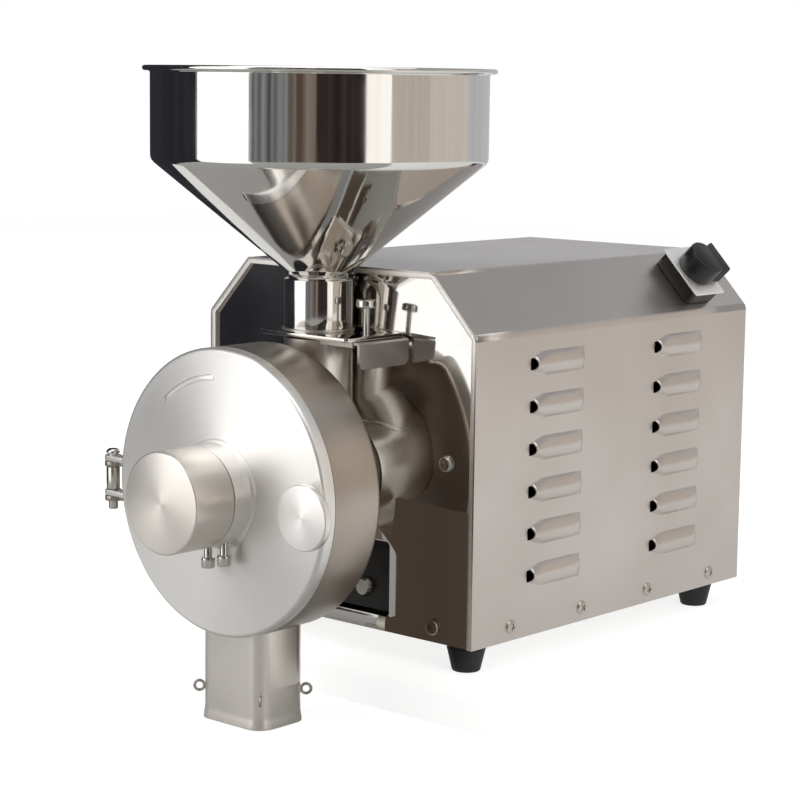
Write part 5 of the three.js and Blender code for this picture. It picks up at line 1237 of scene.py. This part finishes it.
# %% [markdown]
# ## The switch
#
# A changeover switch sits on the sloping shoulder: a plastic base, an anodised face plate, and a
# round knob with a broad pointer. All are flat outlines, so they are cut as plates, and one
# placing function tilts them onto the shoulder.

# %% Switch
SWITCH_TILT = math.atan2(CHAMFER_HEIGHT, CHAMFER_WIDTH)
SWITCH_X, SWITCH_Y, SWITCH_Z = 94.5, 248, 216
KNOB_ROUND = 13.6
GRIP_SHARE = 0.72


def shoulder_plate(name, outline, holes, low, high, edge, material):
    """Cuts a plate that lies on the shoulder, between two heights above it."""
    c, s = math.cos(SWITCH_TILT), math.sin(SWITCH_TILT)

    def placing(down, along, out):
        out += (low + high) / 2
        return SWITCH_X + down * c + out * s, SWITCH_Y + along, SWITCH_Z - down * s + out * c

    return cut_plate(name, outline, holes, high - low, edge, placing, material)


base_outline = rounded(-19.25, 19.25, -15.75, 15.75, 4)
base = shoulder_plate("switch_base", base_outline, [], 0.3, 10.7, 0.8, ABS_BLACK)
settle(base, "machine", "black_plastic", "switch_body")
face_outline = rounded(-20.75, 20.75, -17.25, 17.25, 1.5)
face_hole = circle(0, 0, 6.3, 32)
face = shoulder_plate("switch_face", face_outline, [face_hole], 11.0, 12.2, 0.3, ANODISED)
settle(face, "machine", "satin_steel", "switch_plate")
spindle = shoulder_plate("switch_spindle", circle(0, 0, 5.6, 32), [], 11.0, 13.0, 0.2, ABS_BLACK)
settle(spindle, "switch", "black_plastic")
pointer = eased([(9.95, 9.3, 0), (13, 17, 2.5), (-13, 17, 2.5), (-9.95, 9.3, 0)], 0, True)[1:-1]
knob_outline = [*arc(0, 0, KNOB_ROUND, 137, 403, 48), *pointer]
handle = shoulder_plate("switch_knob", knob_outline, [], 12.6, 27.2, 1.2, ABS_BLACK)
settle(handle, "switch", "black_plastic", "switch_handle")
grip_outline = [(x * GRIP_SHARE, y * GRIP_SHARE) for x, y in knob_outline]
grip = shoulder_plate("switch_knob_top", grip_outline, [], 26.6, 27.6, 0.4, ABS_BLACK)
settle(grip, "switch", "black_plastic")

# %% [markdown]
# ## The solids that stay
#
# The tray, the cable gland and what is inside keep their solid shape and get the finish of the
# real part. Most of them are seen only through the window, the louvres and the open cover.

# %% Finishes for the carried solids
FINISHES = [
    (SATIN_LONG, ["base_tray"]),
    (SATIN_ACROSS, ["disc_carrier"]),
    (SATIN_UPRIGHT, ["feed_screw"]),
    (ABS_BLACK, ["cable_gland", "cooling_fan"]),
    (ABS_GREY, ["capacitor"]),
    (RUBBER, ["shaft_seal"]),
    (MOTOR_PAINT, ["motor_front_bell", "motor_rear_bell"]),
    (LAMINATIONS, ["motor_stator", "motor_rotor"]),
    (GROUND, ["rotating_disc", "fixed_disc", "disc_nut", "main_shaft"]),
    (BRIGHT_PIN, ["front_bearing", "rear_bearing"]),
    (ZINC, ["fineness_screw", "motor_bolt_1", "motor_bolt_2"]),
]
for finish, names in FINISHES:
    for name in names:
        mesh = nodes[name].data
        if not mesh.materials:
            mesh.materials.append(finish)
        for i in range(len(mesh.materials)):
            mesh.materials[i] = finish
    print(finish.name, "on", ", ".join(names))

# %% [markdown]
# ## The studio
#
# The mill stands at the edge of a pale table, with its spout over the edge. The table and the
# floor look white to the camera and dimmer to a mirror, and that glow lights nothing. The room is
# white to both, and lights the mill with a little more than half of that. So the background is
# bright while the mill is lit at a plain level.

# %% Table, floor and room
TABLE_TOP = -17.0
TABLE_EDGE = -8.0
TABLE_ROUND = 14
FLOOR = -48.5
STAGE_REACH = 3500
ROOM_LEVEL = 0.55


def seen_by(tree, camera_level, mirror_level):
    """A strength that a camera ray and a mirrored ray each see, and that lights nothing."""
    camera_ray = add_node(tree, "LightPath", output="Is Camera Ray")
    mirror_ray = add_node(tree, "LightPath", output="Is Glossy Ray")
    direct = add_node(tree, "Math", {0: camera_ray, 1: camera_level}, operation="MULTIPLY")
    both = {0: mirror_ray, 1: mirror_level, 2: direct}
    return add_node(tree, "Math", both, operation="MULTIPLY_ADD")


def stage_material(name, colour, camera_level, mirror_level):
    material, tree, shader = start_material(name, colour, 0.0, 0.9)
    shader.inputs["Specular IOR Level"].default_value = 0.0
    shader.inputs["Emission Color"].default_value = (1, 1, 1, 1)
    tree.links.new(seen_by(tree, camera_level, mirror_level), shader.inputs["Emission Strength"])
    return material


WHITE_TABLE = stage_material("white_table", "#9a9a98", 0.8, 0.5)
WHITE_FLOOR = stage_material("white_floor", "#868684", 0.88, 0.1)
table_edge = arc(TABLE_EDGE + TABLE_ROUND, TABLE_TOP - TABLE_ROUND, TABLE_ROUND, 90, 180, 8)
table_profile = [(STAGE_REACH, TABLE_TOP), *table_edge, (TABLE_EDGE, FLOOR)]
floor_profile = [(TABLE_EDGE, FLOOR), (-STAGE_REACH, FLOOR)]
stages = [("table", table_profile, WHITE_TABLE), ("floor", floor_profile, WHITE_FLOOR)]
for name, profile, finish in stages:
    rows = [[(x, y, z) for y, z in profile] for x in (-STAGE_REACH, STAGE_REACH)]
    make(name, *skin(rows, False, False), finish, 60.0)
world = bpy.data.worlds.new("studio")
world.use_nodes = True
scene.world = world
tree = world.node_tree
plain = tree.nodes["Background"]
plain.inputs["Color"].default_value = (1, 1, 1, 1)
rest_of_white = seen_by(tree, 1 - ROOM_LEVEL, 1 - ROOM_LEVEL)
level = add_node(tree, "Math", {0: rest_of_white, 1: ROOM_LEVEL}, operation="ADD")
tree.links.new(level, plain.inputs["Strength"])
print("the room lights the mill at", ROOM_LEVEL)

# %% [markdown]
# Large soft lamps light the mill from the left, the right and above. The left one is the
# strongest, and the right side is left a little darker, as in the photograph. They are so large
# that their edges stay soft where the satin steel reflects them.

# %% Lamps
LAMP_AIM = Vector((0, 0, 0.2))
LAMPS = [
    ("lamp_front_left", (-1.2, -1.6, 1.3), 1.9, 37),
    ("lamp_right", (1.9, -0.5, 1.1), 1.2, 16),
    ("lamp_top", (0.0, 0.1, 2.0), 2.6, 17),
]
for name, place, size, power in LAMPS:
    data = bpy.data.lights.new(name, "AREA")
    data.shape = "SQUARE"
    data.size = size
    data.energy = power
    lamp = bpy.data.objects.new(name, data)
    scene.collection.objects.link(lamp)
    lamp.location = place
    lamp.rotation_mode = "QUATERNION"
    lamp.rotation_quaternion = (LAMP_AIM - Vector(place)).to_track_quat("-Z", "Y")
    print(name, power, "W,", size, "m wide")

# %% [markdown]
# Polished steel shows only what stands round it, so a ring of upright screens that only
# reflections see gives it a room: black flags for the dark bands, soft boxes for the bright ones,
# and draped grey and warm walls for all that lies between. A small brown card between the chamber
# and the front panel is painted shade: it stands in for the dark of that closed space and darkens
# the panel's lower right corner in reflection. Each wall hangs in folds, drawn as a noise that is
# stretched upwards, so that the bands have soft, uneven edges.

# %% Walls of the studio, which only reflections see
DRAPE_WIDTH = 90 * MM
DRAPE_HEIGHT = 2.5
NEAR, MIDWAY, FAR = 1300, 1900, 2200


def wall_material(name, first, second, strength):
    material, tree, shader = start_material(name, "#000000", 0.0, 1.0)
    shader.inputs["Specular IOR Level"].default_value = 0.0
    where = add_node(tree, "TexCoord", output="Object")
    folds = {"Vector": where, "Scale": (1 / DRAPE_WIDTH, 1 / DRAPE_WIDTH, 1 / DRAPE_HEIGHT)}
    folded = add_node(tree, "Mapping", folds)
    drapes = add_node(tree, "TexNoise", {"Vector": folded, "Scale": 1.0, "Detail": 1.0})
    tree.links.new(blend(tree, drapes, first, second), shader.inputs["Emission Color"])
    shader.inputs["Emission Strength"].default_value = strength
    return material


def wall(name, start, stop, low, high, first, second, strength=1.0):
    """An upright screen between two places on the floor, in casing millimetres."""
    mesh = bpy.data.meshes.new(name)
    corners = [(*start, low), (*stop, low), (*stop, high), (*start, high)]
    mesh.from_pydata([at(*corner) for corner in corners], [], [(0, 1, 2, 3)])
    mesh.materials.append(wall_material(name + "_cloth", first, second, strength))
    piece = bpy.data.objects.new(name, mesh)
    scene.collection.objects.link(piece)
    piece.visible_camera = False
    piece.visible_diffuse = False
    piece.visible_shadow = False
    piece.visible_transmission = False


def around(azimuth, distance):
    """A place on the floor at an azimuth from the hopper, 0 in front and 90 at the right."""
    angle = math.radians(azimuth)
    return TUBE_X + distance * math.sin(angle), TUBE_Y - distance * math.cos(angle)


WALLS = [
    ("black_flag_left", (-600, 620), (-600, -668), FLOOR, 1500, "#2a2a2f", "#34343a"),
    ("soft_box_left", (-600, -700), (-10, -700), FLOOR, 1300, "#ffffff", "#f8f8f8", 1.6),
    # Painted shade: a brown card between chamber and panel, for the dark of that closed space.
    ("painted_shade_card_low", (31, -8), (104, -8), FLOOR, 84, "#4c4139", "#554a41"),
    ("grey_room_front", (-10, -1200), around(24, NEAR), FLOOR, 1500, "#46464a", "#a0a0a2"),
    ("brown_room_front", around(24, NEAR), around(41, NEAR), FLOOR, 1500, "#5a4a44", "#948880"),
    ("black_flag_camera", around(41, NEAR), around(72, NEAR), FLOOR, 1500, "#2a2322", "#443a38"),
    ("soft_box_right", around(73, NEAR), around(90, NEAR), FLOOR, 1300, "#fffdfa", "#f4efe8", 1.4),
    ("warm_wall_right", around(90, 1400), around(120, MIDWAY), FLOOR, 1700, "#c4b8ac", "#cdc4ba"),
    ("warm_wall_back", around(120, MIDWAY), around(160, FAR), FLOOR, 1700, "#d2c9c0", "#dcd3ca"),
    ("warm_wall_rear", around(160, FAR), around(225, FAR), FLOOR, 1700, "#bdbfc3", "#c8cace"),
    ("grey_wall_high", around(100, FAR), around(225, FAR), 800, 4500, "#a4a7ab", "#afb2b6"),
]
for row in WALLS:
    wall(*row)
print("screens round the mill:", len(WALLS))
